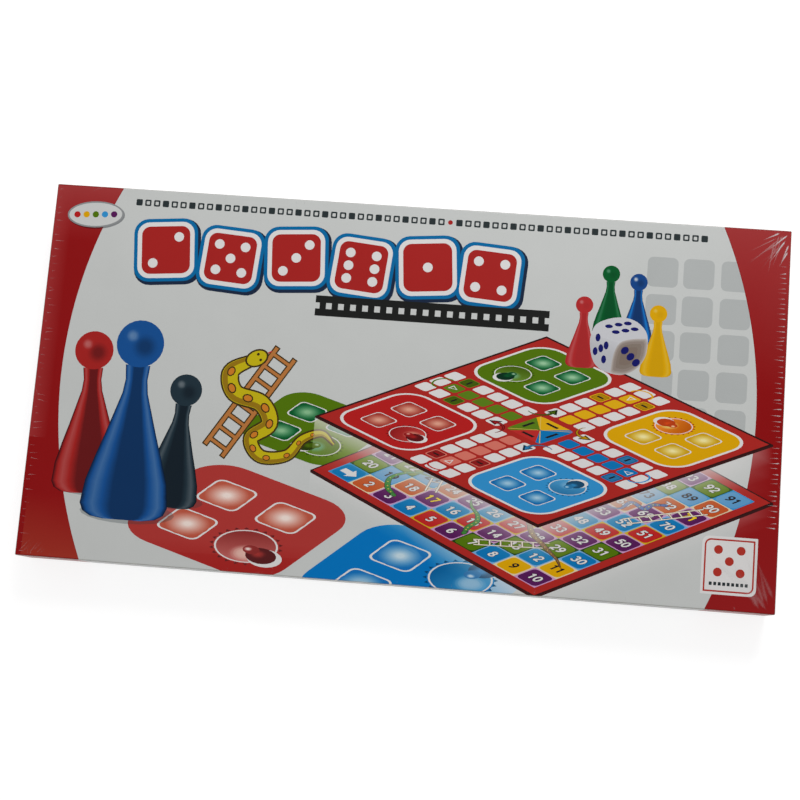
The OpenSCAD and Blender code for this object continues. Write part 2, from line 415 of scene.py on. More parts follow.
def beyond(outline, start, way):
    """The part of a convex outline that lies beyond start along way."""
    outline = np.asarray(outline, float)
    far = (outline - start) @ np.asarray(way, float)
    kept = []
    for p, q, a, b in zip(outline, np.roll(outline, -1, 0), far, np.roll(far, -1)):
        if a >= 0:
            kept.append(p)
        if a * b < 0:
            kept.append(p + (q - p) * a / (a - b))
    return np.array(kept)


def attach_map(piece, flat_points, triangles):
    """Stores the flat sheet as the piece's own map."""
    low, high = flat_points.min(0), flat_points.max(0)
    uv = MAP_EDGE + (1 - 2 * MAP_EDGE) * (flat_points - low) / (high - low)
    piece.data.uv_layers.new(name="OFBake").data.foreach_set("uv", uv[triangles].astype(np.float32).ravel())


def attach_ink(piece, ink, flat_points, triangles):
    """Stores the colour of each corner, and the flat sheet as the piece's own map."""
    layer = piece.data.color_attributes.new("ink", "FLOAT_COLOR", "CORNER")
    rgba = np.concatenate([to_light(ink), np.ones((*ink.shape[:2], 1))], -1)
    layer.data.foreach_set("color", rgba.astype(np.float32).ravel())
    attach_map(piece, flat_points, triangles)


def printed_piece(name, art, net, finish):
    """A folded sheet with its print: the net's flat sheet is split along its folds and its artwork."""
    points, triangles, ink = split_sheet(net.hem(net.reach), net.creases(), art.shapes)
    if net.facing < 0:
        triangles, ink = triangles[:, ::-1], ink[:, ::-1]
    piece = make_piece(name, net.fold(points), [triangles], finish)
    attach_ink(piece, ink, points, triangles)
    return piece


# Printed motifs

def loop_strokes(cx, cy, rx, ry, steps=8):
    """A closed oval as its left and right strokes, which overlap a little."""
    return [arc(cx, cy, rx, ry, 85, 275, steps), arc(cx, cy, rx, ry, -95, 95, steps)]


# The strokes of each numeral in a field 0.6 wide and 1 high
DIGITS = {
    "0": loop_strokes(0.3, 0.5, 0.23, 0.42),
    "1": [[(0.1, 0.74), (0.38, 0.93)], [(0.34, 0.93), (0.34, 0.06)]],
    "2": [arc(0.3, 0.68, 0.22, 0.25, 175, -35, 8), [(0.5, 0.58), (0.1, 0.1)], [(0.06, 0.1), (0.56, 0.1)]],
    "3": [arc(0.28, 0.71, 0.2, 0.21, 165, -85, 8), arc(0.28, 0.29, 0.24, 0.22, 85, -165, 8)],
    "4": [[(0.42, 0.93), (0.06, 0.34)], [(0.04, 0.32), (0.58, 0.32)], [(0.42, 0.93), (0.42, 0.05)]],
    "5": [[(0.53, 0.9), (0.12, 0.9)], [(0.16, 0.9), (0.12, 0.5)],
          arc(0.27, 0.34, 0.24, 0.26, 128, -145, 9)],
    "6": [arc(0.3, 0.3, 0.21, 0.23, 60, 300, 8), arc(0.3, 0.3, 0.21, 0.23, -70, 70, 6),
          arc(0.62, 0.36, 0.54, 0.58, 105, 180, 5)],
    "7": [[(0.06, 0.9), (0.57, 0.9)], [(0.53, 0.92), (0.24, 0.05)]],
    "8": loop_strokes(0.3, 0.71, 0.18, 0.19, 6) + loop_strokes(0.3, 0.29, 0.22, 0.22, 6),
    "9": [*loop_strokes(0.3, 0.69, 0.21, 0.23), arc(-0.02, 0.64, 0.54, 0.58, -75, 0, 5)],
}
PIPS = {1: [(0, 0)], 2: [(-1, -1), (1, 1)], 3: [(-1, -1), (0, 0), (1, 1)],
        4: [(-1, -1), (-1, 1), (1, -1), (1, 1)], 5: [(-1, -1), (-1, 1), (0, 0), (1, -1), (1, 1)],
        6: [(-1, -1), (-1, 0), (-1, 1), (1, -1), (1, 0), (1, 1)]}
# Half the width of a pawn of height 1, from its foot to its neck, as (half width, height)
PAWN_FLANK = np.array([(0.1, -0.022), (0.165, -0.012), (0.205, 0.012), (0.222, 0.05), (0.207, 0.167),
                       (0.17, 0.29), (0.13, 0.41), (0.09, 0.54), (0.065, 0.62), (0.056, 0.69),
                       (0.063, 0.765)])
# The outline of a drawn die and the line round its shaded face, in halves of its width
DIE_OUTLINE = [(-0.125, 0.97), (0.5, 0.905), (0.9, 0.58), (1.0, 0.19), (0.945, -0.31), (0.66, -0.73),
               (0.23, -0.96), (-0.18, -0.96), (-0.6, -0.83), (-0.87, -0.55), (-1.0, -0.07), (-0.985, 0.34),
               (-0.78, 0.73)]
DIE_EDGE = [(-0.24, -0.9), (-0.2, -0.46), (-0.09, -0.07), (0.11, 0.16), (0.5, 0.27), (0.94, 0.31)]
# The pips of its three faces: half width, half height, turn, and the places
DIE_PIPS = [(0.14, 0.065, 0, [(-0.38, 0.65), (-0.05, 0.73), (0.27, 0.79), (-0.13, 0.47), (0.2, 0.54),
                              (0.52, 0.61)]),
            (0.086, 0.14, 0, [(-0.74, 0.24), (-0.44, -0.01), (-0.62, -0.12), (-0.81, -0.23),
                              (-0.5, -0.49)]),
            (0.15, 0.12, 40, [(0.22, -0.14), (0.43, -0.34), (0.63, -0.53)])]
DARK = (0.13, 0.11, 0.11)
WHITE = (0.87, 0.86, 0.855)
NIGHT = (0.02, 0.03, 0.06)      # what shaded colours are mixed with


def longer(path, by):
    """A path with both its ends moved outwards by that length."""
    path = np.array(path, float)
    first, last = path[0] - path[1], path[-1] - path[-2]
    path[0] += first / np.linalg.norm(first) * by
    path[-1] += last / np.linalg.norm(last) * by
    return path


def draw_number(art, value, cx, cy, height, colour, rim):
    """A plain number in drawn strokes, with a darker rim round each stroke. Shares are of its height."""
    pitch, gap, stroke, rim_stroke, rim_end = 0.68, 0.08, 0.19, 0.29, 0.06
    text = str(value)
    left = cx - height * (pitch * len(text) - gap) / 2
    for weight, ink, more in ((rim_stroke, rim, rim_end), (stroke, colour, 0.0)):
        for k, sign in enumerate(text):
            for line in DIGITS[sign]:
                path = np.asarray(line) * height + (left + k * pitch * height, cy - height / 2)
                art.add(ribbon(longer(path, more * height), weight * height), flat(ink))


def draw_pips(art, value, spread, pip, colour):
    """The pips of one face of a die round the origin."""
    for x, y in PIPS[value]:
        art.add(ring(x * spread, y * spread, pip, steps=14), flat(colour))


def draw_die(art, ink):
    """A die seen from above one corner, 2 units wide: three rounded faces inside one rounded outline."""
    outline = through(DIE_OUTLINE, 5, closed=True)
    body = mixed(ink.die_white, NIGHT, 0.12)
    art.add(outline, flat(body))
    side = through(DIE_OUTLINE[7:12], 5)
    line = through(DIE_EDGE, 5)
    art.add(np.vstack([side, [(-0.75, 0.3), (-0.4, 0.2), (-0.05, 0.12)], line[12:0:-1]]),
            fade((-0.35, 0.32), (-0.55, -0.2), body, mixed(body, NIGHT, 0.08)))
    front = np.vstack([line, through(DIE_OUTLINE[3:8], 5)])
    middle = front.mean(0)
    for share, tone in ((1.0, (0.72, 0.69, 0.67)), (0.96, (0.67, 0.63, 0.61)), (0.91, (0.61, 0.57, 0.54)),
                        (0.84, (0.56, 0.51, 0.48)), (0.7, (0.52, 0.47, 0.43)), (0.5, (0.5, 0.44, 0.4))):
        art.add(middle + (front - middle) * share, flat(tone))
    for rx, ry, turn, places in DIE_PIPS:
        for place in places:
            art.at(turned(turn, place)).add(ring(0, 0, rx, ry, 14), flat(ink.drawn_pip))


def draw_turned(art, flank, stops):
    """A turned shape with half widths flank, whose colour changes evenly between shares of their width."""
    shares = np.array([share for share, _ in stops])
    tones = np.array([tone[:3] for _, tone in stops])

    def ink(points):
        share = points[:, 0] / np.interp(points[:, 1], flank[:, 1], flank[:, 0])
        return np.stack([*(np.interp(share, shares, tone) for tone in tones.T), np.ones(len(points))], -1)
    for a, b in zip(shares[:-1], shares[1:]):
        art.add(np.vstack([flank * (b, 1), (flank * (a, 1))[::-1]]), ink)


def draw_pawn(art, colour, shade=0.05, strip=WHITE, shine=0.2):
    """A pawn of height 1 on the origin, darker down its middle, with a light strip at both sides."""
    dark, side = (mixed(colour, NIGHT, share) for share in (shade, shade * 2))
    lit = mixed(colour, strip, shine)
    draw_turned(art, PAWN_FLANK, [(-1, side), (-0.88, colour), (-0.72, lit), (-0.52, colour), (-0.3, dark),
                                  (0.45, dark), (0.6, colour), (0.78, lit), (0.9, colour), (1, side)])
    art.add(ring(0, 0.876, 0.122, steps=26), flat(colour))
    art.glowing(0.025, 0.862, 0.094, dark, colour, (0.95, 0.0), rings=4)
    art.glowing(-0.042, 0.915, 0.05, mixed(colour, WHITE, min(1, shine * 2)), colour, (0.95, 0.0), rings=3)


def draw_snake(art, points, width, body, patch, outline, back=None, patches=9):
    """A plain snake along a smooth path from its head to its tail, with patches down its back."""
    path = through(points, 8)
    s = np.linspace(0, 1, len(path))
    girth = width * np.clip(np.minimum(0.55 + 4 * s, 1.25 * (1 - s) ** 0.6), 0.1, 1)
    for extra, ink in ((0.22 * width, outline), (0, body)):
        art.add(ribbon(path, girth + extra), flat(ink))
    if back is not None:
        along = np.gradient(path, axis=0)
        along /= np.linalg.norm(along, axis=1, keepdims=True)
        side = path + np.c_[along[:, 1], -along[:, 0]] * girth[:, None] * 0.3
        art.add(ribbon(side, girth * 0.34), flat(back))
    for at in np.interp(np.linspace(0.1, 0.86, patches), s, np.arange(len(path))):
        i = int(at)
        way = path[min(i + 1, len(path) - 1)] - path[i - 1]
        spot = art.at(turned(math.degrees(math.atan2(way[1], way[0])), path[i], girth[i]))
        spot.add(ring(0, 0, 0.36, 0.27, 10), flat(outline))
        spot.add(ring(0, 0, 0.27, 0.19, 10), flat(patch))
    way = path[0] - path[2]
    head = art.at(turned(math.degrees(math.atan2(way[1], way[0])), path[0], width))
    head.add(ribbon([(0.7, 0), (1.15, 0.02)], 0.08), flat((0.75, 0.15, 0.15)))
    head.add(ring(0.1, 0, 0.78, 0.56, 18), flat(outline))
    head.add(ring(0.1, 0, 0.66, 0.45, 18), flat(body))
    for side in (-1, 1):
        head.add(ring(0.28, side * 0.2, 0.1, 0.09, 8), flat(outline))


def draw_ladder(art, foot, top, width, pitch, thick, colour, rim):
    """A ladder between two points: two rails, and rungs at that pitch, each over a darker rim."""
    foot, top = np.array(foot, float), np.array(top, float)
    way = top - foot
    length = np.linalg.norm(way)
    frame = art.at(placed(way / length, (-way[1] / length, way[0] / length), foot))
    rungs = max(int(length / pitch), 2)
    for extra, ink in ((0.7 * thick, rim), (0, colour)):
        for k in range(rungs):
            x = (k + 0.5) * length / rungs
            frame.add(ribbon([(x, -width / 2), (x, width / 2)], thick * 0.8 + extra), flat(ink))
        for side in (-1, 1):
            frame.add(block(-extra / 2, side * width / 2 - (thick + extra) / 2,
                            length + extra / 2, side * width / 2 + (thick + extra) / 2), flat(ink))


def draw_home(art, colour, square, glare, head=(0.5, 0.0), sheen=(0.2, 0.1), body=None, deep=0.5):
    """What lies in a player's yard: three glowing squares and a toothed ring with a pawn seen from above.

    head is where the pawn's foot lies from the ring's middle, sheen where the ring shines, body the pawn's
    colour, and deep how dark its foot is.
    """
    for x, y in ((-0.95, -0.95), (-0.95, 0.95), (0.95, 0.95)):
        art.plates(x, y, (0.66, 0.24, WHITE), (0.6, 0.2, square))
        art.glowing(x, y, 0.62, glare, square, rings=7, even=True)
    body = colour if body is None else body
    dark, teeth = mixed(body, NIGHT, deep), 22
    disc = art.to(0.95, -0.95)
    for k in range(teeth):
        disc.at(turned(k * 360 / teeth)).add([(0.88, -0.09), (1.0, 0), (0.88, 0.09)],
                                             flat(mixed(colour, NIGHT, 0.42)))
    disc.add(ring(0, 0, 0.9, steps=30), flat(colour))
    disc.add(ring(0, 0, 0.86, steps=30), flat(WHITE))
    near = np.array(sheen) / np.linalg.norm(sheen) * 0.8
    disc.add(ring(0, 0, 0.81, steps=30),
             fade(-near, near, mixed(colour, NIGHT, 0.2), mixed(colour, glare, 0.25)))
    shine = mixed(square, glare, 0.6)
    disc.glowing(*sheen, 0.5, shine, shine, (0.8, 0.0), rings=6, even=True)
    foot = disc.at(turned(math.degrees(math.atan2(head[1], head[0])), head))
    foot.add(ring(0.13, 0, 0.49, 0.46, 20), flat(WHITE))
    foot.add(ring(-0.02, 0, 0.44, 0.4, 20), flat(dark))
    foot.glowing(-0.14, 0.0, 0.32, mixed(body, NIGHT, 0.05), dark, (1.0, 0.0), rings=4)
    foot.add(ring(-0.42, 0, 0.24, 0.22, 16), flat(mixed(body, NIGHT, 0.2)))
    foot.glowing(-0.5, 0.04, 0.16, mixed(glare, WHITE, 0.3), body, (0.95, 0.0), rings=3)


PLACES = 15         # of the cross-and-circle board, along each side


def draw_ludo(art, ink, middle=PLACES / 2):
    """The traditional cross-and-circle board of 15 by 15 places: one arm, turned four times round a middle.

    middle is the place of that middle on both axes. An arm is drawn as if it lay at the front of the board.
    """
    half, rim, arm_share, yard_share, centre_share = PLACES / 2, 0.14, 0.96, 1.07, 0.92
    art.add(block(0, 0, PLACES, PLACES), flat(ink.board_edge))
    art.add(block(rim, rim, PLACES - rim, PLACES - rim), flat(ink.board_red))
    # For each player: the yard's colour, its squares, their glare, its ring, and how the ring's pawn looks
    orange, forest = mixed(ink.home_yellow, (0.96, 0.28, 0.0), 0.62), (0.03, 0.35, 0.17)
    players = [(ink.home_red, (0.64, 0.22, 0.18), (0.93, 0.7, 0.6), ink.home_red, {}),
               (ink.home_green, forest, (0.68, 0.84, 0.68), ink.home_green, {"body": forest}),
               (ink.home_yellow, (0.8, 0.62, 0.08), (0.97, 0.94, 0.72), orange,
                {"body": (0.9, 0.3, 0.08), "deep": 0.2}),
               (ink.home_blue, (0.06, 0.42, 0.68), (0.7, 0.83, 0.9), ink.home_blue, {})]
    for k, (colour, square, glare, around, look) in enumerate(players):
        arm = art.at(turned(-90 * k, (middle, middle), arm_share)).to(-half, -half)
        yard = arm.at(turned(0, (2.98, 2.98), yard_share))
        yard.plates(0, 0, (2.57, 1.25, WHITE), (2.42, 1.1, colour), steps=8)
        draw_home(yard, around, square, glare, **look)
        lane = ink.cell_blue if k == 3 else mixed(colour, glare, 0.1 if k else 0.58)
        for x in (half - 1, half, half + 1):
            for row in range(6):
                y, marked = row + 0.5, (x - half, row) in ((-1, 1), (1, 2))
                tone = lane if (x == half and row > 0) or marked else WHITE
                arm.plates(x, y, (0.42, 0.15, tone), steps=3)
                if marked:
                    arm.plates(x, y, (0.35, 0.11, mixed(colour, NIGHT, 0.45)),
                               (0.31, 0.1, mixed(colour, NIGHT, 0.2)), steps=3)
                    arm.add(ribbon([(x - 0.2, y), (x + 0.2, y)], 0.13), flat(DARK))
        gate = arm.to(half, 0)
        gate.add([(-0.22, 1.25), (0.22, 1.25), (0, 1.72)], flat(WHITE))
        gate.add([(-0.14, 1.32), (0.14, 1.32), (0, 1.6)], flat(lane))
        gate.add(ribbon(arc(0, 0.72, 0.6, 0.48, 165, 375, 10), 0.1), flat(colour))
    arrow = arc(-1.8, -1.8, 0.7, 0.7, -22, 95, 10)
    for k, (colour, _, glare, _, _) in enumerate(players):
        part = art.at(turned(-90 * k, (middle, middle), centre_share))
        part.add([(0, 0), (-1.22, -0.92), (-1.17, -1.17), (-0.92, -1.22), (0.92, -1.22), (1.17, -1.17),
                  (1.22, -0.92)], flat(ink.cell_blue if k == 3 else mixed(colour, glare, 0.1)))
        part.add(ribbon([(-0.4, -0.85), (0.4, -0.85)], 0.18), flat(DARK))
        for share, thick, tip in ((0.7, 0.22, [(-1.83, -1.42), (-1.9, -0.78), (-2.44, -1.25)]),
                                  (0.15, 0.11, [(-1.88, -1.3), (-1.93, -0.95), (-2.25, -1.22)])):
            for outline in (ribbon(arrow, np.linspace(0.2, 1.0, len(arrow)) * thick), tip):
                part.add(outline, flat(mixed(colour, NIGHT, share)))
    for k in range(4):
        seam = art.at(turned(-90 * k + 45, (middle, middle), centre_share))
        seam.add(ribbon([(0.1, 0), (1.6, 0)], 0.05), flat(mixed(ink.home_yellow, WHITE, 0.4)))


CELLS = 10
FRAME = 0.42        # of a cell, round the hundred squares
# Snakes from head to tail and ladders from foot to top, by the squares' columns and rows
SNAKES = [([(6.5, 9.5), (5.8, 8.8), (6.6, 8.1), (5.7, 7.4), (6.3, 6.6)], "snake_green"),
          ([(2.5, 9.4), (1.7, 8.6), (2.7, 7.8), (1.8, 7.0), (2.6, 6.2), (1.9, 5.5)], "snake_brown"),
          ([(8.4, 7.4), (8.15, 7.1), (8.2, 6.7), (7.6, 6.7), (7.7, 6.1), (7.3, 5.8)], "snake_blue"),
          ([(4.5, 6.5), (3.8, 5.8), (4.8, 5.0), (3.9, 4.3), (4.6, 3.5)], "snake_yellow"),
          ([(2.5, 0.65), (2.0, 0.87), (1.57, 1.47), (1.8, 2.3), (2.6, 2.6)], "snake_green"),
          ([(5.85, 0.75), (5.64, 1.14), (5.55, 1.6), (5.2, 1.96), (4.69, 2.19), (4.33, 2.5)],
           "snake_green"),
          ([(6.7, 2.9), (7.3, 2.5), (7.94, 2.3), (8.5, 2.1), (9.0, 1.95), (9.5, 1.65)], "snake_brown")]
LADDERS = [((6.5, 0.55), (8.2, 2.4)), ((8.45, 5.6), (9.55, 8.2)), ((0.5, 4.5), (0.6, 7.4)),
           ((6.5, 3.6), (5.6, 5.5)), ((5.4, 6.4), (4.9, 8.5)), ((3.5, 7.5), (4.5, 9.4)),
           ((3.1, 1.8), (2.6, 2.6))]


def draw_hundred(art, ink):
    """The traditional board of a hundred numbered squares that run to and fro from the lower left corner.

    The colours run in diagonal stripes, and each colour has its own rim.
    """
    low, high = -FRAME, CELLS + FRAME
    art.add(block(low, low, high, high), flat(ink.board_edge))
    art.add(block(low + 0.06, low + 0.06, high - 0.06, high - 0.06), flat(ink.board_red))
    cream = (0.86, 0.8, 0.66)
    sky, orange = (ink.cell_sky, ink.home_blue), (ink.cell_orange, cream)
    purple, blue = (ink.cell_purple, (0.78, 0.58, 0.76)), (ink.cell_blue, (0.45, 0.66, 0.84))
    red, green = (ink.cell_red, ink.grid_yellow), (ink.home_green, (0.1, 0.25, 0.05))
    yellow = (ink.home_yellow, cream)
    stripes = [sky, orange, purple, blue, red, purple, green, blue, yellow, purple]
    stripes += [yellow, green, blue, orange, purple, red, blue, purple, green]
    for n in range(CELLS * CELLS):
        row, step = divmod(n, CELLS)
        column = step if row % 2 == 0 else CELLS - 1 - step
        stripe = tone, rim = stripes[(column - row) % len(stripes)]
        x, y = column + 0.5, row + 0.5
        art.add(block(x - 0.5, y - 0.5, x + 0.5, y + 0.5), flat(rim))
        art.plates(x, y, (0.45, 0.16, tone if n else ink.cell_blue), steps=3)
        if n == 0:
            art.add([(x - 0.3, y - 0.14), (x + 0.05, y - 0.14), (x + 0.05, y - 0.3), (x + 0.36, y),
                     (x + 0.05, y + 0.3), (x + 0.05, y + 0.14), (x - 0.3, y + 0.14)], flat(WHITE))
        elif stripe in (sky, yellow):
            draw_number(art, n + 1, x, y, 0.4, DARK, tone)
        else:
            bright = (0.98, 0.82, 0.1) if stripe == purple and row == 1 + 6 * (column > 5) else WHITE
            draw_number(art, n + 1, x, y, 0.4, bright, mixed(tone, NIGHT, 0.6))
    for foot, top in LADDERS:
        draw_ladder(art, foot, top, 0.36, 0.34, 0.055, (0.93, 0.9, 0.82), (0.35, 0.22, 0.14))
    for points, tone in SNAKES:
        colour = getattr(ink, tone)
        draw_snake(art, points, 0.18, colour, mixed(colour, (1, 0.9, 0.3), 0.6), DARK)


def beside(line, low, high, far):
    """The field between a line and x = far, from y = low to y = high."""
    order = np.argsort(line[:, 1])
    y = np.linspace(low, high, 24)
    return np.vstack([np.c_[np.interp(y, line[order, 1], line[order, 0]), y], [(far, high), (far, low)]])


def draw_red_ends(art, ink, half_l, half_w, reach):
    """The red ends of the lid's print, bounded by arcs that bow towards the ends, with soft light."""
    ends = ((-1, ((-212, 1), (-241.7, 0), (-215, -1)), mixed(ink.band_red, ink.band_bright, 0.1)),
            (1, ((213.3, 1), (241, 0), (212.7, -1)), ink.band_red))
    lit, warm = ink.band_bright, ink.band_warm
    for side, points, tone in ends:
        first, last = (points[0][0], half_w), (points[2][0], -half_w)
        line = bow(first, points[1], last, 40)
        far, edge = side * (half_l + reach), side * (half_l + 1)
        art.add(np.vstack([[(far, half_w + reach), (first[0], half_w + reach)], line,
                           [(last[0], -half_w - reach), (far, -half_w - reach)]]), flat(tone))
        inner, strip = line + (side * 0.4, 0), edge + 13
        lights = [(beside(inner, 15, half_w, far), (0, half_w), (0, 15), lit, 0.8),
                  (beside(inner, -half_w, -20, far), (0, -half_w), (0, -20), lit, 0.3)]
        if side < 0:
            lights = [(beside(inner, 92, half_w, far), (0, half_w), (0, 92), lit, 0.9),
                      (block(edge, -50, strip, 40), (edge, 0), (strip, 0), lit, 0.75),
                      (block(edge, 40, strip, half_w), (edge, 0), (strip, 0), lit, 0.75),
                      (beside(inner, -half_w, -88, edge + 4), (0, -half_w), (0, -88), warm, 0.75)]
        for outline, start, end, glare, cover in lights:
            art.add(outline, fade(start, end, glare, glare, (cover, 0.0)))


def draw_big_home(art, origin, colour, square, glare, turn, place=1.0, end=None, **look):
    """A player's field drawn large and leaning, as if it lay on the table.

    end is where its colour starts to change, the way over which it does, and the colour there.
    """
    u, v = np.array((41.9, -12.4)) * place, np.array((-25.3, -21.4)) * place
    field = art.at(placed(u, v, origin))
    outline = plate(0, 0, 1.28, 1.28, 0.6, 8)
    field.add(outline, flat(colour))
    if end is not None:
        start, way, tone = np.array(end[0]), np.array(end[1]), end[2]
        for part in (0.0, 0.5):
            field.add(beyond(outline, start + way * part, way),
                      fade(start, start + way, tone, tone, (0.0, 0.95)))
    draw_home(field.at(turned(turn, scale=0.5 / 0.95)), colour, square, glare, **look)


def draw_lid(art, ink, half_l, half_w, reach):
    """The lid's print in mm from its middle, drawn on past the edges over the walls."""
    span_l, span_w = half_l + reach, half_w + reach
    art.add(block(-span_l, -span_w, span_l, span_w), flat(ink.paper))
    for x in (172.3, 197.3, 223.3):
        for y in (97.3, 70.7, 45.3, 19, -7):
            art.plates(x, y, (10.65, 4, ink.grey_square))
    draw_red_ends(art, ink, half_l, half_w, reach)
    draw_oval(art, ink)
    draw_rows(art, ink)
    draw_big_home(art, (-61.0, -30.0), ink.home_green, (0.03, 0.35, 0.17), (0.62, 0.8, 0.62), 90, 0.66,
                  head=(0.41, 0.47))
    draw_big_home(art, (-108.5, -97.6), ink.home_red_pale, (0.74, 0.34, 0.26), (0.98, 0.96, 0.93), 90,
                  end=((0.3, 0.5), (0.4, 0.62), ink.face_red), head=(0.18, -0.61), sheen=(0.32, -0.2))
    draw_big_home(art, (14.2, -129.6), ink.home_blue_pale, (0.08, 0.44, 0.72), (0.88, 0.92, 0.92), 0,
                  end=((0.2, -0.35), (0.6, -0.85), (0.7, 0.8, 0.88)), head=(0.26, -0.78),
                  sheen=(0.35, 0.05), body=(0.2, 0.54, 0.82))
    draw_group(art, ink)
    draw_boards(art, ink)
    tall, sky = 49.5, (0.08, 0.52, 0.84)
    for x, y, colour, *look in ((137, 74.95, ink.pawn_green, 0.12),
                                (156.3, 70.35, ink.pawn_blue, 0.25, sky, 0.8),
                                (119.8, 51.75, ink.pawn_red), (171.0, 48.95, ink.pawn_yellow)):
        draw_pawn(art.at(turned(0, (x, y - tall / 2), tall)), colour, *look)
    draw_die(art.at(placed((19.7, 0), (0, 20.6), (145, 43))), ink)
    draw_corner(art, ink)
    draw_walls(art, ink, half_l, half_w)


def draw_rows(art, ink):
    """A row of small squares with one dot, and six large die faces over a black ladder."""
    line, first, pitch, dot = 122.9, -199.5, 6.34, 35
    for k in range(64):
        x = first + k * pitch
        if k == dot:
            art.add(ring(x, line, 1.7, steps=12), flat(ink.face_red))
            continue
        art.add(plate(x, line, 2.25, 2.35, 0.7, 2), flat(ink.small_dark))
        art.add(plate(x, line, 1.15, 1.2, 0.35, 2), flat(ink.paper if k % 3 else ink.small_dark))
    faces = [(2, -177, 89.5, 5), (5, -130.5, 86.5, -4), (3, -84, 90, 4), (6, -37.5, 86.5, -5),
             (1, 9, 89.5, 5), (4, 53, 86.5, -4)]
    for grow, tone, (right, up) in ((6.6, ink.face_shadow, (1.3, -1.4)), (5.6, ink.face_blue, (0, 0)),
                                    (3.1, WHITE, (0, 0)), (0, ink.face_red, (0, 0))):
        for value, x, y, lean in faces:
            face = art.at(turned(lean, (x + right, y + up)))
            face.plates(0, 0, (17.2 + grow, 6 + grow * 0.8, tone), steps=6)
            if grow == 0:
                draw_pips(face, value, 9.3, 3.5, WHITE)
    draw_ladder(art, (-66.5, 57), (95, 57), 9.4, 8.1, 3.0, ink.ladder_black, ink.ladder_black)


def draw_group(art, ink):
    """Three large pawns with their shadow, and a snake that winds round a ladder."""
    art.to(-183, -93).glowing(0, 0, 40, (0.35, 0.38, 0.4), ink.paper, (0.5, 0.0), rings=5, squeeze=0.24)
    pawns = ((-215, -84, 112, ink.face_red, 3), (-158, -90, 92, ink.large_dark, -4),
             (-188, -100, 138, ink.large_blue, 0))
    for x, y, height, colour, lean in pawns:
        art.add(ring(x + 3, y + 2, height * 0.24, height * 0.055, 20), flat((0.2, 0.24, 0.26), 0.28))
        draw_pawn(art.at(turned(lean, (x, y), height)), colour, 0.38)
    draw_ladder(art, (-129, -50), (-85, 21), 15, 9.5, 2.6, ink.ladder_wood, ink.outline_brown)
    draw_snake(art, [(-106, 16), (-122, 6), (-118, -9), (-99, -15), (-92, -29), (-104, -40), (-96, -52),
                     (-78, -50), (-68, -38), (-55, -33), (-46, -40)],
               11, ink.snake_body, ink.snake_patch, ink.outline_brown, ink.snake_back, 11)


def draw_oval(art, ink):
    """A plain pale oval with a row of coloured dots in the upper left corner."""
    oval = art.at(turned(3.8, (-230, 112)))
    oval.add(ring(0.6, -0.8, 20.4, 9.8, 40), flat(NIGHT, 0.35))
    oval.add(ring(0, 0, 20.2, 9.6, 40), flat(mixed(ink.paper, NIGHT, 0.3)))
    oval.add(ring(0, 0, 19.0, 8.5, 40), flat(mixed(ink.paper, WHITE, 0.2)))
    tones = (ink.home_red, ink.home_yellow, ink.home_green, ink.home_blue, ink.cell_purple)
    for k, tone in enumerate(tones):
        oval.add(ring((k - 2) * 6.6, 0, 2.3, steps=16), flat(tone))


def shaft(start, end, reach, cover):
    """White light below a line: it fades over that reach, and between two covers along the line."""
    start, way = np.array(start, float), np.array(end, float) - np.array(start, float)

    def ink(points):
        share = np.clip((points[:, 0] - start[0]) / way[0], 0, 1)
        depth = np.clip((start[1] + way[1] * share - points[:, 1]) / reach, 0, 1)
        strength = (cover[0] + (cover[1] - cover[0]) * share) * (1 - depth)
        return np.c_[np.broadcast_to(WHITE, (len(points), 3)), strength]
    return ink


def draw_boards(art, ink):
    """Both faces of the folding board, one over the other, seen from a corner, each with light under it."""
    low = placed((159.0, -74.3), (156.7, 75.3), (-60.7, -58.7))
    high = placed((158.4, -64.3), (155.7, 67.3), (-60.7, -21.0))
    for name, place, thick, reaches, cover in (("low", low, 1.7, (16, 9), 0.22),
                                               ("high", high, 1.25, (34, 23, 13), 0.4)):
        left, front, right = ((place @ (x, y, 1))[:2] for x, y in ((0, 0), (1, 0), (1, 1)))
        drop, dim = np.array((0, -thick)), front + (right - front) * 0.8
        for reach in reaches:
            down = np.array((0, -reach))
            for start, end, last in ((left, front, cover), (front, dim, cover), (dim, right, 0.0)):
                art.add([start, start + down, end + down, end], shaft(start, end, reach, (cover, last)))
        art.add([left, left + drop, front + drop, right + drop, right], flat(ink.board_side))
        if name == "low":
            unit = 1 / (CELLS + 2 * FRAME)
            draw_hundred(art.at(place).at(turned(0, (FRAME * unit, FRAME * unit), unit)), ink)
        else:
            draw_ludo(art.at(place).at(turned(0, scale=1 / PLACES)), ink, middle=7.43)


def draw_corner(art, ink):
    """A framed die face in the lower right corner, over a short row of squares."""
    frame = art.to(227.6, -102.4)
    corners = np.array((0.3, 4.2, 0.3, 4.2))
    for hx, hy, radii, tone in ((18.6, 19.6, corners + 0.2, WHITE), (16.9, 17.9, corners, ink.corner_red),
                                (15.8, 16.8, corners * 0.75, WHITE)):
        frame.add(plate(0, 0, hx, hy, radii), flat(tone))
    draw_pips(frame.to(0, 3), 5, 7.6, 3.0, ink.corner_red)
    for k in range(9):
        frame.add(plate(-12 + 3 * k, -12.4, 1.0, 1.15, 0.3, 2), flat(ink.small_dark))


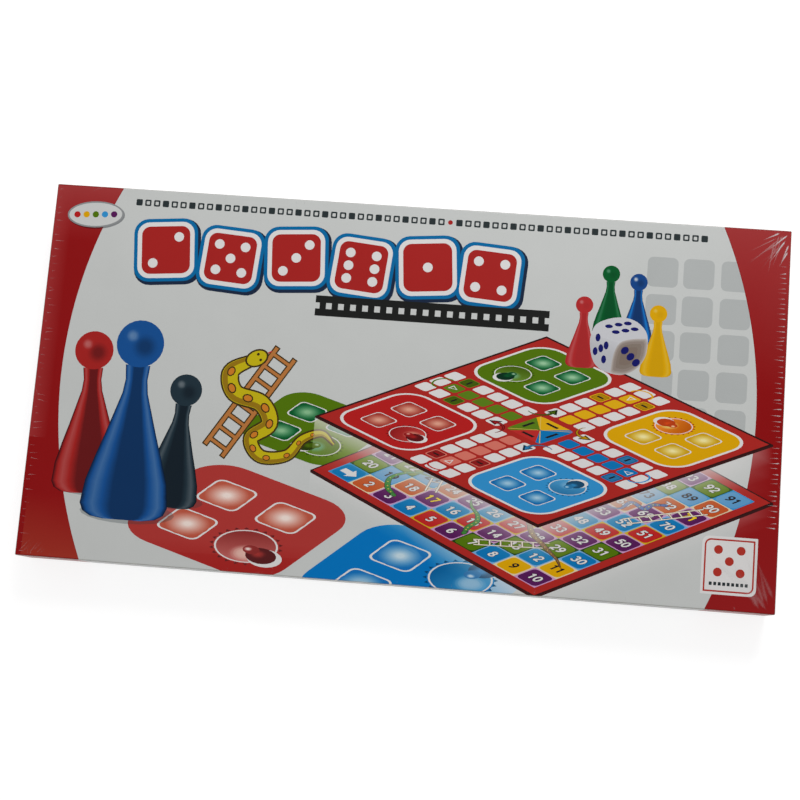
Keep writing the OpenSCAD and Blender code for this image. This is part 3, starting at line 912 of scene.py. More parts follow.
def draw_walls(art, ink, half_l, half_w):
    """The lid's walls: a numbered row of pale squares on the long ones, and four die faces on the ends."""
    middle = 18     # mm from the lid's edge to the middle of a row
    for turn in (0, 180):
        wall = art.at(turned(turn)).to(0, -half_w - middle)
        wall.add(block(-208, -26, 208, 16), flat(ink.paper))
        for k in range(16):
            x = (k - 7.5) * 23.5
            wall.plates(x, 0, (8.6, 2.4, ink.grey_square))
            draw_number(wall, k + 1, x, 0, 8.6, WHITE, mixed(ink.grey_square, NIGHT, 0.35))
    for turn in (90, -90):
        wall = art.at(turned(turn)).to(0, -half_l - middle)
        for k, tone in enumerate((ink.home_green, ink.home_yellow, ink.home_blue, ink.cell_orange)):
            face = wall.to((k - 1.5) * 44, 0)
            face.plates(0, 0, (11.4, 3.6, WHITE), (10.2, 3.0, tone))
            draw_pips(face, k + 3, 5.4, 1.9, WHITE)


# Finishes

class Wire:
    """One output of a node. Sums and products with it add Math nodes."""

    def __init__(self, finish, socket):
        self.finish, self.socket = finish, socket

    def _math(self, operation, *terms):
        return self.finish.node("ShaderNodeMath", {"operation": operation}, dict(enumerate(terms)))

    def __add__(self, other):
        return self._math("ADD", self, other)

    def __mul__(self, other):
        return self._math("MULTIPLY", self, other)

    __radd__, __rmul__ = __add__, __mul__


class Finish:
    """A Principled material. Fixed values are given by socket, and what varies comes from wires."""

    def __init__(self, name, **fixed):
        self.material = bpy.data.materials.new(name)
        self.material.use_nodes = True
        self.tree = self.material.node_tree
        self.shader = self.tree.nodes["Principled BSDF"]
        for socket, value in fixed.items():
            self.shader.inputs[socket.replace("_", " ")].default_value = value
        self.place = self.node("ShaderNodeTexCoord", output="Object")

    def node(self, kind, settings=None, inputs=None, output=0):
        """Adds a node: its settings first, then the values or wires of its sockets. Gives one output."""
        made = self.tree.nodes.new(kind)
        for key, value in (settings or {}).items():
            if key == "stops":
                ramp = made.color_ramp
                for k, (at, colour) in enumerate(value):
                    stop = ramp.elements[k] if k < len(ramp.elements) else ramp.elements.new(at)
                    stop.position, stop.color = at, (*colour[:3], 1)
            else:
                setattr(made, key, value)
        for key, value in (inputs or {}).items():
            if isinstance(value, Wire):
                self.tree.links.new(value.socket, made.inputs[key])
            else:
                made.inputs[key].default_value = value
        return Wire(self, made.outputs[output])

    def noise(self, scale, detail=2.0, stretch=(1, 1, 1), rough=0.5):
        """Soft noise in the piece's own place, with that many waves a metre."""
        place = self.place
        if stretch != (1, 1, 1):
            place = self.node("ShaderNodeMapping", {}, {"Vector": place, "Scale": stretch})
        return self.node("ShaderNodeTexNoise", {}, {"Vector": place, "Scale": scale, "Detail": detail,
                                                    "Roughness": rough})

    def between(self, wire, low, high):
        """0 below low, 1 above high and smooth between them."""
        return self.node("ShaderNodeMapRange", {"interpolation_type": "SMOOTHSTEP"},
                         {"Value": wire, "From Min": low, "From Max": high})

    def mix(self, share, one, other):
        """A colour between two, by a wire."""
        return self.node("ShaderNodeMix", {"data_type": "RGBA"}, {0: share, 6: one, 7: other}, 2)

    def bump(self, height, distance, **under):
        """A normal from a height wire, whose full swing is that distance in metres, over another one."""
        inputs = {"Height": height, "Distance": distance, "Strength": 1.0, **under}
        return self.node("ShaderNodeBump", {}, inputs)

    def shades(self, share, colour, darker, paler):
        """A colour made that much darker where a wire is 0, and that much paler where it is 1."""
        return self.mix(share, light(mixed(colour, (0, 0, 0), darker)),
                        light(mixed(colour, (1, 1, 1), paler)))

    def printed(self, tone):
        """The ink attribute, scaled by a wire."""
        ink = self.node("ShaderNodeAttribute", {"attribute_name": "ink"}, {}, "Color")
        return self.node("ShaderNodeVectorMath", {"operation": "SCALE"}, {0: ink, "Scale": tone})

    def done(self, **wires):
        """Connects the wires to the shader's sockets and gives the material."""
        for socket, wire in wires.items():
            self.tree.links.new(wire.socket, self.shader.inputs[socket.replace("_", " ")])
        return self.material


def light(colour):
    """A screen colour as a socket's value."""
    return (*(float(v) for v in to_light(tuple(colour)[:3])), 1.0)


def paper_finish(name, gloss):
    """Printed paper: the ink attribute, faint blotches of the print, fibre bump and uneven gloss."""
    f = Finish(name, Specular_IOR_Level=0.06, Coat_Weight=0.2, Coat_Roughness=0.1)
    colour = f.printed(0.955 + f.noise(38, 3) * 0.06 + f.noise(900, 2) * 0.03)
    wave = f.bump(f.noise(9, 2), 0.0012)
    fibre = f.bump(f.noise(2600, 3, rough=0.7), 0.00002, Normal=wave)
    return f.done(Base_Color=colour, Roughness=gloss + f.noise(120, 2) * 0.12, Normal=fibre)


def card_finish(name, colour):
    """Greyboard: pressed fibres of several greys, dark flecks and a matt uneven face."""
    f = Finish(name, Specular_IOR_Level=0.25)
    cloud, fibre, fleck = f.noise(60, 4), f.noise(700, 4, (1, 1.8, 1)), f.noise(1900, 2)
    base = f.shades(f.between(cloud * 0.4 + fibre * 0.6, 0.3, 0.7), colour, 0.22, 0.18)
    base = f.mix(f.between(fleck, 0.68, 0.74) * 0.6, base, light(mixed(colour, (0.1, 0.1, 0.1), 0.5)))
    return f.done(Base_Color=base, Roughness=0.8 + cloud * 0.15,
                  Normal=f.bump(fibre + fleck * 0.5, 0.00006))


def moulded_finish(name, colour, gloss):
    """Moulded plastic: nearly even colour, with flow marks, fine scratches and a little light inside."""
    f = Finish(name, Specular_IOR_Level=0.5, Subsurface_Weight=0.06, Subsurface_Scale=0.002)
    flow, grain = f.noise(140, 3, (1, 1, 0.3)), f.noise(2200, 2)
    base = f.shades(f.between(flow, 0.3, 0.7), colour, 0.06, 0.06)
    return f.done(Base_Color=base, Roughness=gloss + flow * 0.1 + grain * 0.04,
                  Normal=f.bump(grain, 0.000012))


def tray_finish(name, colour):
    """Thin formed plastic sheet: milky, with drawing lines and soft shine."""
    f = Finish(name, Specular_IOR_Level=0.5)
    cloud, lines = f.noise(45, 3), f.noise(260, 2, (1, 1, 0.12))
    base = f.shades(f.between(cloud, 0.3, 0.7), colour, 0.015, 0.06)
    return f.done(Base_Color=base, Roughness=0.3 + cloud * 0.12 + lines * 0.06,
                  Normal=f.bump(lines + f.noise(1500, 1) * 0.3, 0.00003))


def cloth_finish(name, colour):
    """Bookbinder's cloth tape: a fine weave of two threads, with painted shade between them and a faint
    painted highlight where they cross.
    """
    f = Finish(name, Specular_IOR_Level=0.3)
    across, along = (f.node("ShaderNodeTexWave", {"bands_direction": way},
                            {"Vector": f.place, "Scale": 380, "Distortion": 0.4, "Detail": 1}, "Fac")
                     for way in "XY")
    weave = across * along
    # Painted shade between the threads and a faint painted highlight where they cross, both from the
    # weave's height.
    base = f.shades(weave, colour, 0.45, 0.08)
    base = f.mix(f.between(f.noise(70, 3), 0.4, 0.75) * 0.3, base, light(mixed(colour, (1, 1, 1), 0.22)))
    return f.done(Base_Color=base, Roughness=0.7 + f.noise(90) * 0.15, Normal=f.bump(weave, 0.00005))


def die_finish(name):
    """Die: the ink attribute chooses paint or body, with a soft mottle and moulding grain."""
    f = Finish(name, Specular_IOR_Level=0.5, Subsurface_Weight=0.1, Subsurface_Scale=0.002)
    cloud = f.noise(220, 3)
    return f.done(Base_Color=f.printed(0.95 + cloud * 0.08), Roughness=0.2 + cloud * 0.15,
                  Normal=f.bump(f.noise(1800, 2), 0.00001))


def film_finish(name):
    """Shrink film: clear where it lies flat, and white along its creases, a painted glint laid over their
    real relief.
    """
    f = Finish(name, Specular_IOR_Level=0.6)
    crease = f.node("ShaderNodeAttribute", {"attribute_name": "crease"}, {}, "Fac")
    haze, streak = f.noise(24, 3), f.noise(420, 2, (0.3, 1, 1))
    # Painted glint: the creases are painted white and made more opaque, so they show bright under any lamp.
    painted_glint = f.between(crease, 0.0, 0.12)
    colour = f.mix(painted_glint, (0.0, 0.0, 0.0, 1), (0.86, 0.87, 0.88, 1))
    cover = 0.004 + f.between(haze, 0.45, 0.8) * 0.006 + crease * (0.55 + streak * 0.4)
    return f.done(Base_Color=colour, Alpha=cover, Roughness=0.14 + haze * 0.12,
                  Normal=f.bump(haze + streak * 0.1, 0.0003))


# Sizes and colours that a user may change

def length(label, value, text):
    """A length in metres that the panel shows."""
    return bpy.props.FloatProperty(name=label, default=value, description=text, min=0.0, unit="LENGTH",
                                   subtype="DISTANCE")


def ink_colour(label, red, green, blue, text):
    """A screen colour, from its shares of 255."""
    return bpy.props.FloatVectorProperty(name=label, size=3, min=0.0, max=1.0, subtype="COLOR_GAMMA",
                                         default=(red / 255, green / 255, blue / 255), description=text)


class GameInks(bpy.types.PropertyGroup):
    """Colours of the prints and the pieces, as seen on a screen."""
    paper: ink_colour("Paper", 199, 201, 199, "White of the lid's print")
    band_red: ink_colour("End bands", 142, 14, 16, "Red ends of the lid")
    band_bright: ink_colour("Band sheen", 164, 60, 60, "Light on the red ends")
    band_warm: ink_colour("Warm sheen", 166, 62, 44, "Warm light on the left end")
    face_red: ink_colour("Die face red", 166, 36, 34, "Large die faces on the lid")
    face_blue: ink_colour("Die face blue", 6, 104, 160, "Line round the large die faces")
    face_shadow: ink_colour("Die face shadow", 28, 42, 66, "Shadow behind the large die faces")
    small_dark: ink_colour("Small squares", 44, 52, 54, "Rows of small squares")
    ladder_black: ink_colour("Black ladder", 32, 33, 32, "Ladder under the die faces")
    grey_square: ink_colour("Grey squares", 177, 180, 179, "Squares behind the pawns")
    corner_red: ink_colour("Corner red", 176, 52, 42, "Framed die face in the lid's corner")
    board_red: ink_colour("Board red", 173, 40, 35, "Field and frame of the board")
    board_edge: ink_colour("Board edge", 52, 22, 22, "Dark line round the board")
    board_side: ink_colour("Board side", 58, 28, 28, "Thickness of the drawn boards")
    home_red: ink_colour("Red yard", 182, 30, 30, "Red player's yard")
    home_green: ink_colour("Green yard", 82, 116, 8, "Green player's yard")
    home_blue: ink_colour("Blue yard", 50, 144, 204, "Blue player's yard")
    home_yellow: ink_colour("Yellow yard", 220, 164, 0, "Yellow player's yard")
    home_red_pale: ink_colour("Large red yard", 175, 56, 52, "Large red yard on the lid")
    home_blue_pale: ink_colour("Large blue yard", 0, 116, 190, "Large blue yard on the lid")
    grid_yellow: ink_colour("Grid yellow", 206, 170, 30, "Lines between the hundred squares")
    cell_orange: ink_colour("Orange square", 196, 84, 38, "Orange squares")
    cell_red: ink_colour("Red square", 190, 36, 34, "Red squares")
    cell_purple: ink_colour("Purple square", 88, 28, 88, "Purple squares")
    cell_blue: ink_colour("Blue square", 8, 116, 180, "Blue squares")
    cell_sky: ink_colour("Sky square", 92, 154, 202, "Pale blue squares")
    snake_green: ink_colour("Green snake", 52, 128, 48, "Green snakes of the board")
    snake_brown: ink_colour("Brown snake", 122, 82, 46, "Brown snakes of the board")
    snake_blue: ink_colour("Blue snake", 60, 92, 164, "Blue snakes of the board")
    snake_yellow: ink_colour("Yellow snake", 210, 172, 40, "Yellow snakes of the board")
    snake_body: ink_colour("Large snake", 196, 178, 20, "Body of the large snake on the lid")
    snake_patch: ink_colour("Snake patches", 204, 124, 40, "Patches of the large snake")
    snake_back: ink_colour("Snake shade", 150, 116, 22, "Shaded side of the large snake")
    outline_brown: ink_colour("Brown outline", 66, 50, 22, "Outline of the snake and its ladder")
    ladder_wood: ink_colour("Ladder wood", 184, 118, 62, "Ladder beside the large snake")
    large_blue: ink_colour("Large blue pawn", 24, 80, 146, "Large blue pawn on the lid")
    large_dark: ink_colour("Large dark pawn", 36, 52, 62, "Large dark pawn on the lid")
    pawn_red: ink_colour("Red pawn", 176, 42, 44, "Red pawns")
    pawn_green: ink_colour("Green pawn", 2, 88, 40, "Green pawns")
    pawn_blue: ink_colour("Blue pawn", 20, 68, 134, "Blue pawns")
    pawn_yellow: ink_colour("Yellow pawn", 218, 164, 0, "Yellow pawns")
    die_white: ink_colour("Die", 226, 226, 230, "Body of the die")
    die_pip: ink_colour("Pips", 40, 48, 132, "Paint in the die's pips")
    drawn_pip: ink_colour("Drawn pips", 20, 24, 100, "Pips of the die in the print")
    greyboard: ink_colour("Greyboard", 152, 146, 134, "Card of the box and the board")
    tray: ink_colour("Tray", 226, 226, 220, "Formed tray")
    tape: ink_colour("Cloth tape", 40, 44, 54, "Tape of the board's fold")
    base_red: ink_colour("Base paper", 156, 30, 32, "Paper of the base")


class GameSizes(bpy.types.PropertyGroup):
    """Sizes of what Blender adds to the CAD model."""
    edge_round: length("Box edges", 0.0008, "Rounding of the papered edges of the lid and base")
    leaf_round: length("Board edges", 0.0005, "Rounding of the board's printed edges")
    crease_height: length("Crease height", 0.0002, "Height of the film's creases")
    tray_round: length("Tray edges", 0.0022, "Rounding of the tray's formed edges")
    die_round: length("Die corners", 0.003, "Rounding of the die's edges")


class GameStage(bpy.types.PropertyGroup):
    """Lamps, floor and camera."""
    lens: bpy.props.FloatProperty(name="Lens", default=69.75, min=1.0, unit="CAMERA",
                                  description="Focal length in mm on a 36 mm wide sensor")
    key: bpy.props.FloatProperty(name="Key lamp", default=11.6, min=0.0, unit="POWER",
                                 description="Power of the large lamp behind the box")
    fill: bpy.props.FloatProperty(name="Fill lamp", default=1.5, min=0.0, unit="POWER",
                                  description="Power of the lamp at the front left")
    sky: bpy.props.FloatProperty(name="Sky", default=0.4, min=0.0,
                                 description="Light from all round, where 1 is white")
    zenith: bpy.props.FloatProperty(name="Zenith", default=0.05, min=0.0,
                                    description="Brightness overhead that glossy surfaces show")
    glare: bpy.props.FloatProperty(name="Floor glare", default=0.8, min=0.0,
                                   description="Light that the floor adds to its shading, where 1 is white")
    floor: ink_colour("Floor", 168, 168, 168, "Floor under its glare")


# Pieces

def seat(piece, body, node):
    """Lets a piece ride on a body and stand for a CAD node, whose part it hides."""
    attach(piece, body)
    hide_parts(node)


def box_net(wrap, shell, edge, side):
    """The sheet of a papered box half: flat face, rounded edge, wall, round rim and the turned-in paper.

    Its sizes come from the CAD boxes of the paper and the card. side is 1 where the flat face is on top.
    """
    low, high = extent(wrap)
    paper = extent(shell)[0][0] - low[0]
    radius, wall = CARD_ROUND + paper, CARD + 2 * paper
    face, rim = (high[2], low[2])[::side]
    turn, rim_r = np.array([1, side]), wall / 2
    over = rounded_edge(edge, (-edge, -edge), 90, 0) * (-1, 1) * turn
    under = rounded_edge(rim_r, (-rim_r, rim_r), 0, -180) * (-1, 1) * turn
    profile = np.vstack([[(radius, face)], over + (0, face),
                         [(0, face - side * (edge + SUPPORT)), (0, rim + side * (rim_r + SUPPORT))],
                         under + (0, rim), [(wall, rim + side * TURN_IN)]])
    return Net(low, high, radius, profile, facing=side)


class PieceOperator:
    """What the operators share: they read the scene's colours and sizes."""
    bl_options = {"REGISTER", "UNDO"}

    def execute(self, context):
        self.build(context.scene.game_inks, context.scene.game_sizes)
        return {"FINISHED"}


class GAME_OT_lid_print(PieceOperator, bpy.types.Operator):
    """Prints the lid's paper and folds it over the lid's edges and rim"""
    bl_idname, bl_label = "game.lid_print", "Lid print"

    def build(self, ink, sizes):
        net, art = box_net("lid_wrap", "lid_shell", sizes.edge_round / MM, 1), Artwork()
        draw_lid(art, ink, *net.high, net.reach)
        piece = printed_piece("lid_print", art, net, paper_finish("lid_paper", 0.3))
        seat(piece, "lid", "lid_wrap")


class GAME_OT_base_print(PieceOperator, bpy.types.Operator):
    """Folds the base's plain paper over its bottom, walls and rim"""
    bl_idname, bl_label = "game.base_print", "Base print"

    def build(self, ink, sizes):
        net, art = box_net("base_wrap", "base_shell", sizes.edge_round / MM, -1), Artwork()
        span = net.high + net.reach
        art.add(block(*-span, *span), flat(ink.base_red))
        art.add(plate(0, 0, *(net.high - 6), 8), flat(ink.paper))
        art.add(plate(0, 0, *(net.high - 8), 7), flat(mixed(ink.paper, WHITE, 0.2)))
        for x in range(-5, 6):
            for y in range(-2, 3):
                face = art.to(x * 44, y * 44)
                face.add(plate(0, 0, 13, 13, 4), flat(ink.grey_square, 0.35))
                draw_pips(face, 1 + (x * 2 + y * 3) % 6, 6.4, 2.2, ink.paper)
        piece = printed_piece("base_print", art, net, paper_finish("base_paper", 0.42))
        seat(piece, "base", "base_wrap")


def crease(start, angle, long, width, strength):
    """A crease of the film as its outline, its highest point and its strength.

    It runs from start at that angle in degrees, widens up to PEAK of its length and narrows to its end.
    """
    start = np.array(start, float)
    way = np.array((math.cos(math.radians(angle)), math.sin(math.radians(angle))))
    side = np.array((-way[1], way[0])) * width / 2
    top = start + way * long * PEAK
    return np.array([start, top - side, start + way * long, top + side]), top, strength


def crease_lines(creases):
    """The lines along which the film's mesh needs an edge: each crease's outline and its ridge."""
    lines = []
    for outline, top, _ in creases:
        start, right, end, left = outline
        lines += [np.vstack([outline, outline[:1]]), np.array([right, top, left])]
        lines.append(np.vstack([start, top + (end - top) * np.linspace(0, 1, 5)[:, None]]))
    return lines


def crease_height(points, creases):
    """The share of its full height that the film has at points: the highest of the creases there.

    Each crease is a pyramid over its outline, swollen a little towards its ridge.
    """
    height = np.zeros(len(points))
    for outline, top, strength in creases:
        share = np.full(len(points), np.inf)
        for p, q in zip(outline, np.roll(outline, -1, 0)):
            square = np.array((p[1] - q[1], q[0] - p[0]))
            share = np.minimum(share, (points - p) @ square / ((top - p) @ square))
        height = np.maximum(height, strength * np.clip(share, 0, 1) ** 0.7)
    return height


def film_creases(rng, a, b):
    """The creases of a film over a lid of half sizes a and b, in mm of the flat sheet."""
    made = []
    for y in np.arange(-b + 5, b - 22, 3.7):
        strengths = (0.7, 1.0) if rng.random() < 0.4 else (0.25, 0.6)
        tick = crease((a - rng.uniform(0.2, 1.6), y + rng.normal(0, 0.5)), 180 + rng.normal(0, 5),
                      rng.uniform(4.5, 8.5), rng.uniform(0.7, 1.1), rng.uniform(*strengths))
        if y > 54 - b:
            made.append(tick)
    for y in np.arange(-b + 4, b - 3, 5.2):
        made.append(crease((-a + rng.uniform(0.2, 2), y + rng.normal(0, 0.9)), rng.normal(0, 7),
                           rng.uniform(3, 10), rng.uniform(0.6, 1.0), rng.uniform(0.08, 0.28)))
    for x, y, angle, long in ((1.5, 2, 222, 18), (3, 6, 238, 20), (0.8, 9, 250, 15), (7, 1, 207, 14),
                              (1.2, 14, 243, 13)):
        made.append(crease((a - x, b - y), angle, long, 1.5, 0.95))
    for k in range(10):
        made.append(crease((a - rng.uniform(1, 12), b - rng.uniform(1, 14)), rng.uniform(205, 262),
                           rng.uniform(20, 46), rng.uniform(1.0, 2.0), rng.uniform(0.12, 0.3)))
    for k in range(9):
        made.append(crease((a - rng.uniform(0, 9), -b + rng.uniform(0, 9)),
                           101 + 5.5 * k + rng.normal(0, 2), rng.uniform(30, 62), rng.uniform(3, 6.5),
                           rng.uniform(0.06, 0.15)))
    for k in range(7):
        made.append(crease((-a + 2 + 2.4 * k, -b + 1 + rng.uniform(0, 2)), 52 + rng.normal(0, 3),
                           rng.uniform(7, 14), rng.uniform(0.7, 1.1), rng.uniform(0.08, 0.18)))
    for k in range(26):
        side = rng.choice((-1, 1))
        made.append(crease((rng.uniform(-a, a), side * (b - 0.4)), -side * 90 + rng.normal(0, 12),
                           rng.uniform(2, 5), rng.uniform(0.6, 1.1), rng.uniform(0.05, 0.2)))
    for k in range(64):
        side, rim = rng.choice((-1, 1)), rng.random() < 0.5
        if rim:
            place, angle = (side * (a + rng.uniform(3, 22)), rng.uniform(-b, b)), rng.choice((90, -90))
        else:
            place, angle = (rng.uniform(-a, a), side * (b + rng.uniform(3, 22))), rng.choice((0, 180))
        made.append(crease(place, angle + rng.normal(0, 22), rng.uniform(8, 30), rng.uniform(0.8, 2.0),
                           rng.uniform(0.1, 0.45)))
    return made


class GAME_OT_film(PieceOperator, bpy.types.Operator):
    """Lays the shrink film over the lid and under the base, with creases at the ends and corners"""
    bl_idname, bl_label = "game.film", "Shrink film"

    def build(self, ink, sizes):
        low, high = extent("film_upper")
        tall, slack, bend, corner = sizes.crease_height / MM, 0.02, 0.85, 1.25
        pan_slack, pan_bend = 0.012, 0.35
        rows, nets = [26.0, 16.0, 7.0, low[2] + slack], []
        for inset, edge in ((slack + tall, bend), (slack, bend + tall)):
            top = high[2] - inset
            over = rounded_edge(edge, (-edge, -edge), 90, 0) * (-1, 1) + (inset, top)
            wall = [(inset, z) for z in (top - edge - SUPPORT, *rows)]
            nets.append(Net(low, high, corner, np.vstack([[(corner, top)], over, wall])))
        flat_film, raised = nets
        raised.along = flat_film.along
        creases = film_creases(np.random.default_rng(11), *(high[:2] - corner))
        finish = film_finish("shrink_film")
        film = self.sheet("film_over_lid", flat_film, raised, creases, finish)
        seat(film, "lid", "film_upper")
        low, high = extent("film_lower")
        floor, inset = low[2] + pan_slack, slack + tall
        over = rounded_edge(pan_bend, (-pan_bend, pan_bend), -90, 0) * (-1, 1) + (inset, floor)
        pan = Net(low, high, corner, np.vstack([[(corner, floor)], over, [(inset, high[2] - slack)]]), -1)
        film = self.sheet("film_under_base", pan, pan, [], finish)
        seat(film, "base", "film_lower")

    def sheet(self, name, flat_film, raised, creases, finish):
        """A folded film whose points rise from the flat net to the raised one by the creases' height."""
        lines = flat_film.creases() + crease_lines(creases)
        points, triangles, _ = split_sheet(flat_film.hem(flat_film.reach), lines, [])
        share = crease_height(points, creases)
        place = flat_film.fold(points)
        place += (raised.fold(points) - place) * share[:, None]
        if flat_film.facing < 0:
            triangles = triangles[:, ::-1]
        film = make_piece(name, place, [triangles], finish)
        # The share is each point's crease height, and also where the film's finish paints its glint.
        layer = film.data.attributes.new("crease", "FLOAT", "POINT")
        layer.data.foreach_set("value", share.astype(np.float32))
        attach_map(film, points, triangles)
        return film


class GAME_OT_board(PieceOperator, bpy.types.Operator):
    """Builds the folding board's prints: ludo outside, the hundred squares inside, and the cloth tape"""
    bl_idname, bl_label = "game.board", "Folding board"

    def build(self, ink, sizes):
        low, high = extent("board_wrap_lower")
        top = extent("board_wrap_upper")[1]
        pivot = (low[2] + top[2]) / 2
        fold_y, side = -low[1], 2 * high[0]
        outer, inner = paper_finish("board_outer", 0.45), paper_finish("board_inner", 0.5)
        edge, thick = sizes.leaf_round / MM, high[2] - low[2]
        corner, turn_in, lift, chamfer, margin = 3.0, 7.0, 0.02, 0.08, 2.0
        for leaf, up in (("lower", 1), ("upper", -1)):
            body = "board_" + leaf
            over = rounded_edge(edge, (-edge, -edge), 90, 0) * (-1, 1)
            under = rounded_edge(edge, (-edge, edge), 0, -90)[1:] * (-1, 1) - (0, thick)
            fold = np.vstack([[(corner, 0)], over, [(0, -edge - SUPPORT), (0, -thick + edge)], under,
                              [(turn_in, -thick - lift)]])
            base = low[2] if up == 1 else top[2]
            net = Net(low, high, corner, fold * (1, -up) + (0, base), facing=-up, spine=True)
            art = Artwork()
            art.add(block(-side, -side, side, side), flat(ink.board_edge))
            unit = side / PLACES
            start = -fold_y if up == 1 else 3 * fold_y
            draw_ludo(art.at(placed((-unit, 0), (0, up * unit), (side / 2, start))), ink)
            seat(printed_piece("ludo_print_" + leaf, art, net, outer), body,
                 "board_wrap_" + leaf)
            lin_low, lin_high = extent("board_liner_" + leaf)
            face = lin_high[2] if up == 1 else lin_low[2]
            sheet = lin_high[2] - lin_low[2]
            profile = np.array([(corner, 0), (chamfer, 0), (0, -chamfer), (0, -sheet)])
            profile = profile * (1, up) + (0, face)
            net = Net(lin_low, lin_high, corner, profile, facing=up, spine=True)
            art = Artwork()
            art.add(block(-side, -side, side, side), flat(ink.board_edge))
            unit = (side - 2 * margin) / (CELLS + 2 * FRAME)
            first = margin + FRAME * unit
            start = first - fold_y if up == 1 else 3 * fold_y - first
            draw_hundred(art.at(placed((unit, 0), (0, up * unit), (first - side / 2, start))), ink)
            seat(printed_piece("squares_print_" + leaf, art, net, inner), body,
                 "board_liner_" + leaf)
        self.tape(ink, pivot, fold_y)

    def tape(self, ink, pivot, fold):
        """One strip from leaf to leaf: flat, then half round about the fold's axis, then flat again."""
        low, high = extent("hinge_tape_lower")
        r = pivot - (low[2] + high[2]) / 2
        bend = arc(fold, pivot, r, r, -90, 90, 12)
        ys = (low[1], low[1] + 4, high[1] - 1)
        path = np.vstack([[(y, pivot - r) for y in ys], bend, [(y, pivot + r) for y in ys[::-1]]])
        xs = np.linspace(low[0], high[0], 60)
        points = np.c_[np.tile(xs, len(path)), np.repeat(path, len(xs), 0)]
        finish = cloth_finish("hinge_cloth", ink.tape)
        tape = make_piece("fold_tape", points, [grid_faces(len(path), len(xs))], finish)
        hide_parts("hinge_tape_lower", "hinge_tape_upper")
        fold * MM
        (pivot - r) * MM
        fold * MM
        (pivot + r) * MM
        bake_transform(tape)


def lathe(profile, steps, place, axis="z"):
    """Turns a profile of (radius, height) points about an axis through place, as a grid closed round it."""
    angle = np.linspace(0, 2 * np.pi, steps, endpoint=False)
    r, h = np.asarray(profile, float).T
    x, y = r[:, None] * np.cos(angle), r[:, None] * np.sin(angle)
    z = np.repeat(h[:, None], steps, 1)
    grid = np.stack([x, y, z] if axis == "z" else [z, x, y], -1)
    return grid.reshape(-1, 3) + place


class GAME_OT_tray(PieceOperator, bpy.types.Operator):
    """Forms the tray: a deck with rounded edges, outer walls and three wells"""
    bl_idname, bl_label = "game.tray", "Formed tray"

    def build(self, ink, sizes):
        low, high = extent("insert_tray")
        half, corner, rim = high[:2], 5.0, sizes.tray_round / MM
        pitch, well, foot_round, wall, skirt, slack = 90.0, (31.0, 26.0), 1.6, 0.4, 1.2, 0.02
        middles = [(-pitch, 0), (0, 0), (pitch, 0)]
        outer = plate(0, 0, half[0] - rim, half[1] - rim, corner - rim, CORNER_BENDS)
        holes = [plate(x, y, well[0] + rim, well[1] + rim, corner + rim, CORNER_BENDS) for x, y in middles]
        points, triangles, _ = split_sheet(outer, [], [], holes)
        blocks, parts, at = [triangles], [np.c_[points, np.full(len(points), high[2])]], len(points)

        def band(cx, cy, hx, hy, profile, outwards):
            """Sweeps (outset, height) points round a rounded rectangle. A well's last loop gets a face."""
            nonlocal at
            outlines = [plate(cx, cy, hx + d, hy + d, corner + d, CORNER_BENDS) for d, _ in profile]
            loops = [np.c_[outline, np.full(len(outline), z)] for outline, (_, z) in zip(outlines, profile)]
            quads = grid_faces(len(loops), len(loops[0]), True, at)
            blocks.append(quads[:, ::-1] if outwards else quads)
            parts.extend(loops)
            at += sum(map(len, loops))
            if not outwards:
                blocks.append(np.arange(at - len(loops[-1]), at)[None, :])

        over = rounded_edge(rim, (-rim, high[2] - rim), 90, 0)
        band(0, 0, *half, np.vstack([over, [(0.0, low[2] + skirt), (0.0, low[2] + slack)]]), True)
        into = rounded_edge(rim, (rim, high[2] - rim), 90, 180)
        floor = low[2] + wall + 0.1
        foot = rounded_edge(foot_round, (-foot_round, floor + foot_round), 0, -90)
        for cx, cy in middles:
            band(cx, cy, *well, np.vstack([into, foot]), False)
        piece = make_piece("formed_tray", np.vstack(parts), blocks, tray_finish("tray_plastic", ink.tray))
        weld(piece)
        add_thickness(piece, wall)
        seat(piece, "tray", "insert_tray")


class GAME_OT_pawns(PieceOperator, bpy.types.Operator):
    """Turns the sixteen pawns: hollowed foot, a flank that sweeps in to the neck, and a ball head"""
    bl_idname, bl_label = "game.pawns", "Pawns"

    def build(self, ink, sizes):
        neck, ball, stem, foot_h, bead = 1.4, 3.0, 1.6, 1.2, 0.55
        hollow = [(2.0, 0.4), (1.4, 0.0), (0.7, 0.0)]     # inset from the foot's edge, and height
        for colour in ("red", "green", "blue", "yellow"):
            finish = moulded_finish("pawn_" + colour, getattr(ink, "pawn_" + colour), 0.16)
            for k in range(1, 5):
                node = f"pawn_{colour}_{k}"
                low, high = extent(node)
                middle, height, foot = (low + high) / 2, high[2] - low[2], (high[0] - low[0]) / 2
                head = height - ball
                neck_z = head - math.sqrt(ball ** 2 - neck ** 2) - stem
                s = np.linspace(0, 1, 18)[1:]
                sweep = ((1 + np.cos(np.pi * s)) / 2) ** 0.85
                flank = np.c_[neck + (foot - foot_h / 4 - neck) * sweep, foot_h + (neck_z - foot_h) * s]
                a = np.linspace(math.asin(neck / ball), np.pi, 16)
                profile = np.vstack([[(0, 0.45), *((foot - inset, z) for inset, z in hollow)],
                                     rounded_edge(bead, (foot - bead - 0.01, bead), -60, 75), flank,
                                     [(neck, neck_z + stem / 2)],
                                     np.c_[ball * np.sin(a), head - ball * np.cos(a)]])
                profile[:, 1] = np.clip(profile[:, 1], 0, height)
                points = lathe(profile, 40, (middle[0], middle[1], low[2]))
                pawn = make_piece(f"turned_{node}", points, [grid_faces(len(profile), 40, True)], finish)
                weld(pawn)
                seat(pawn, node, node)


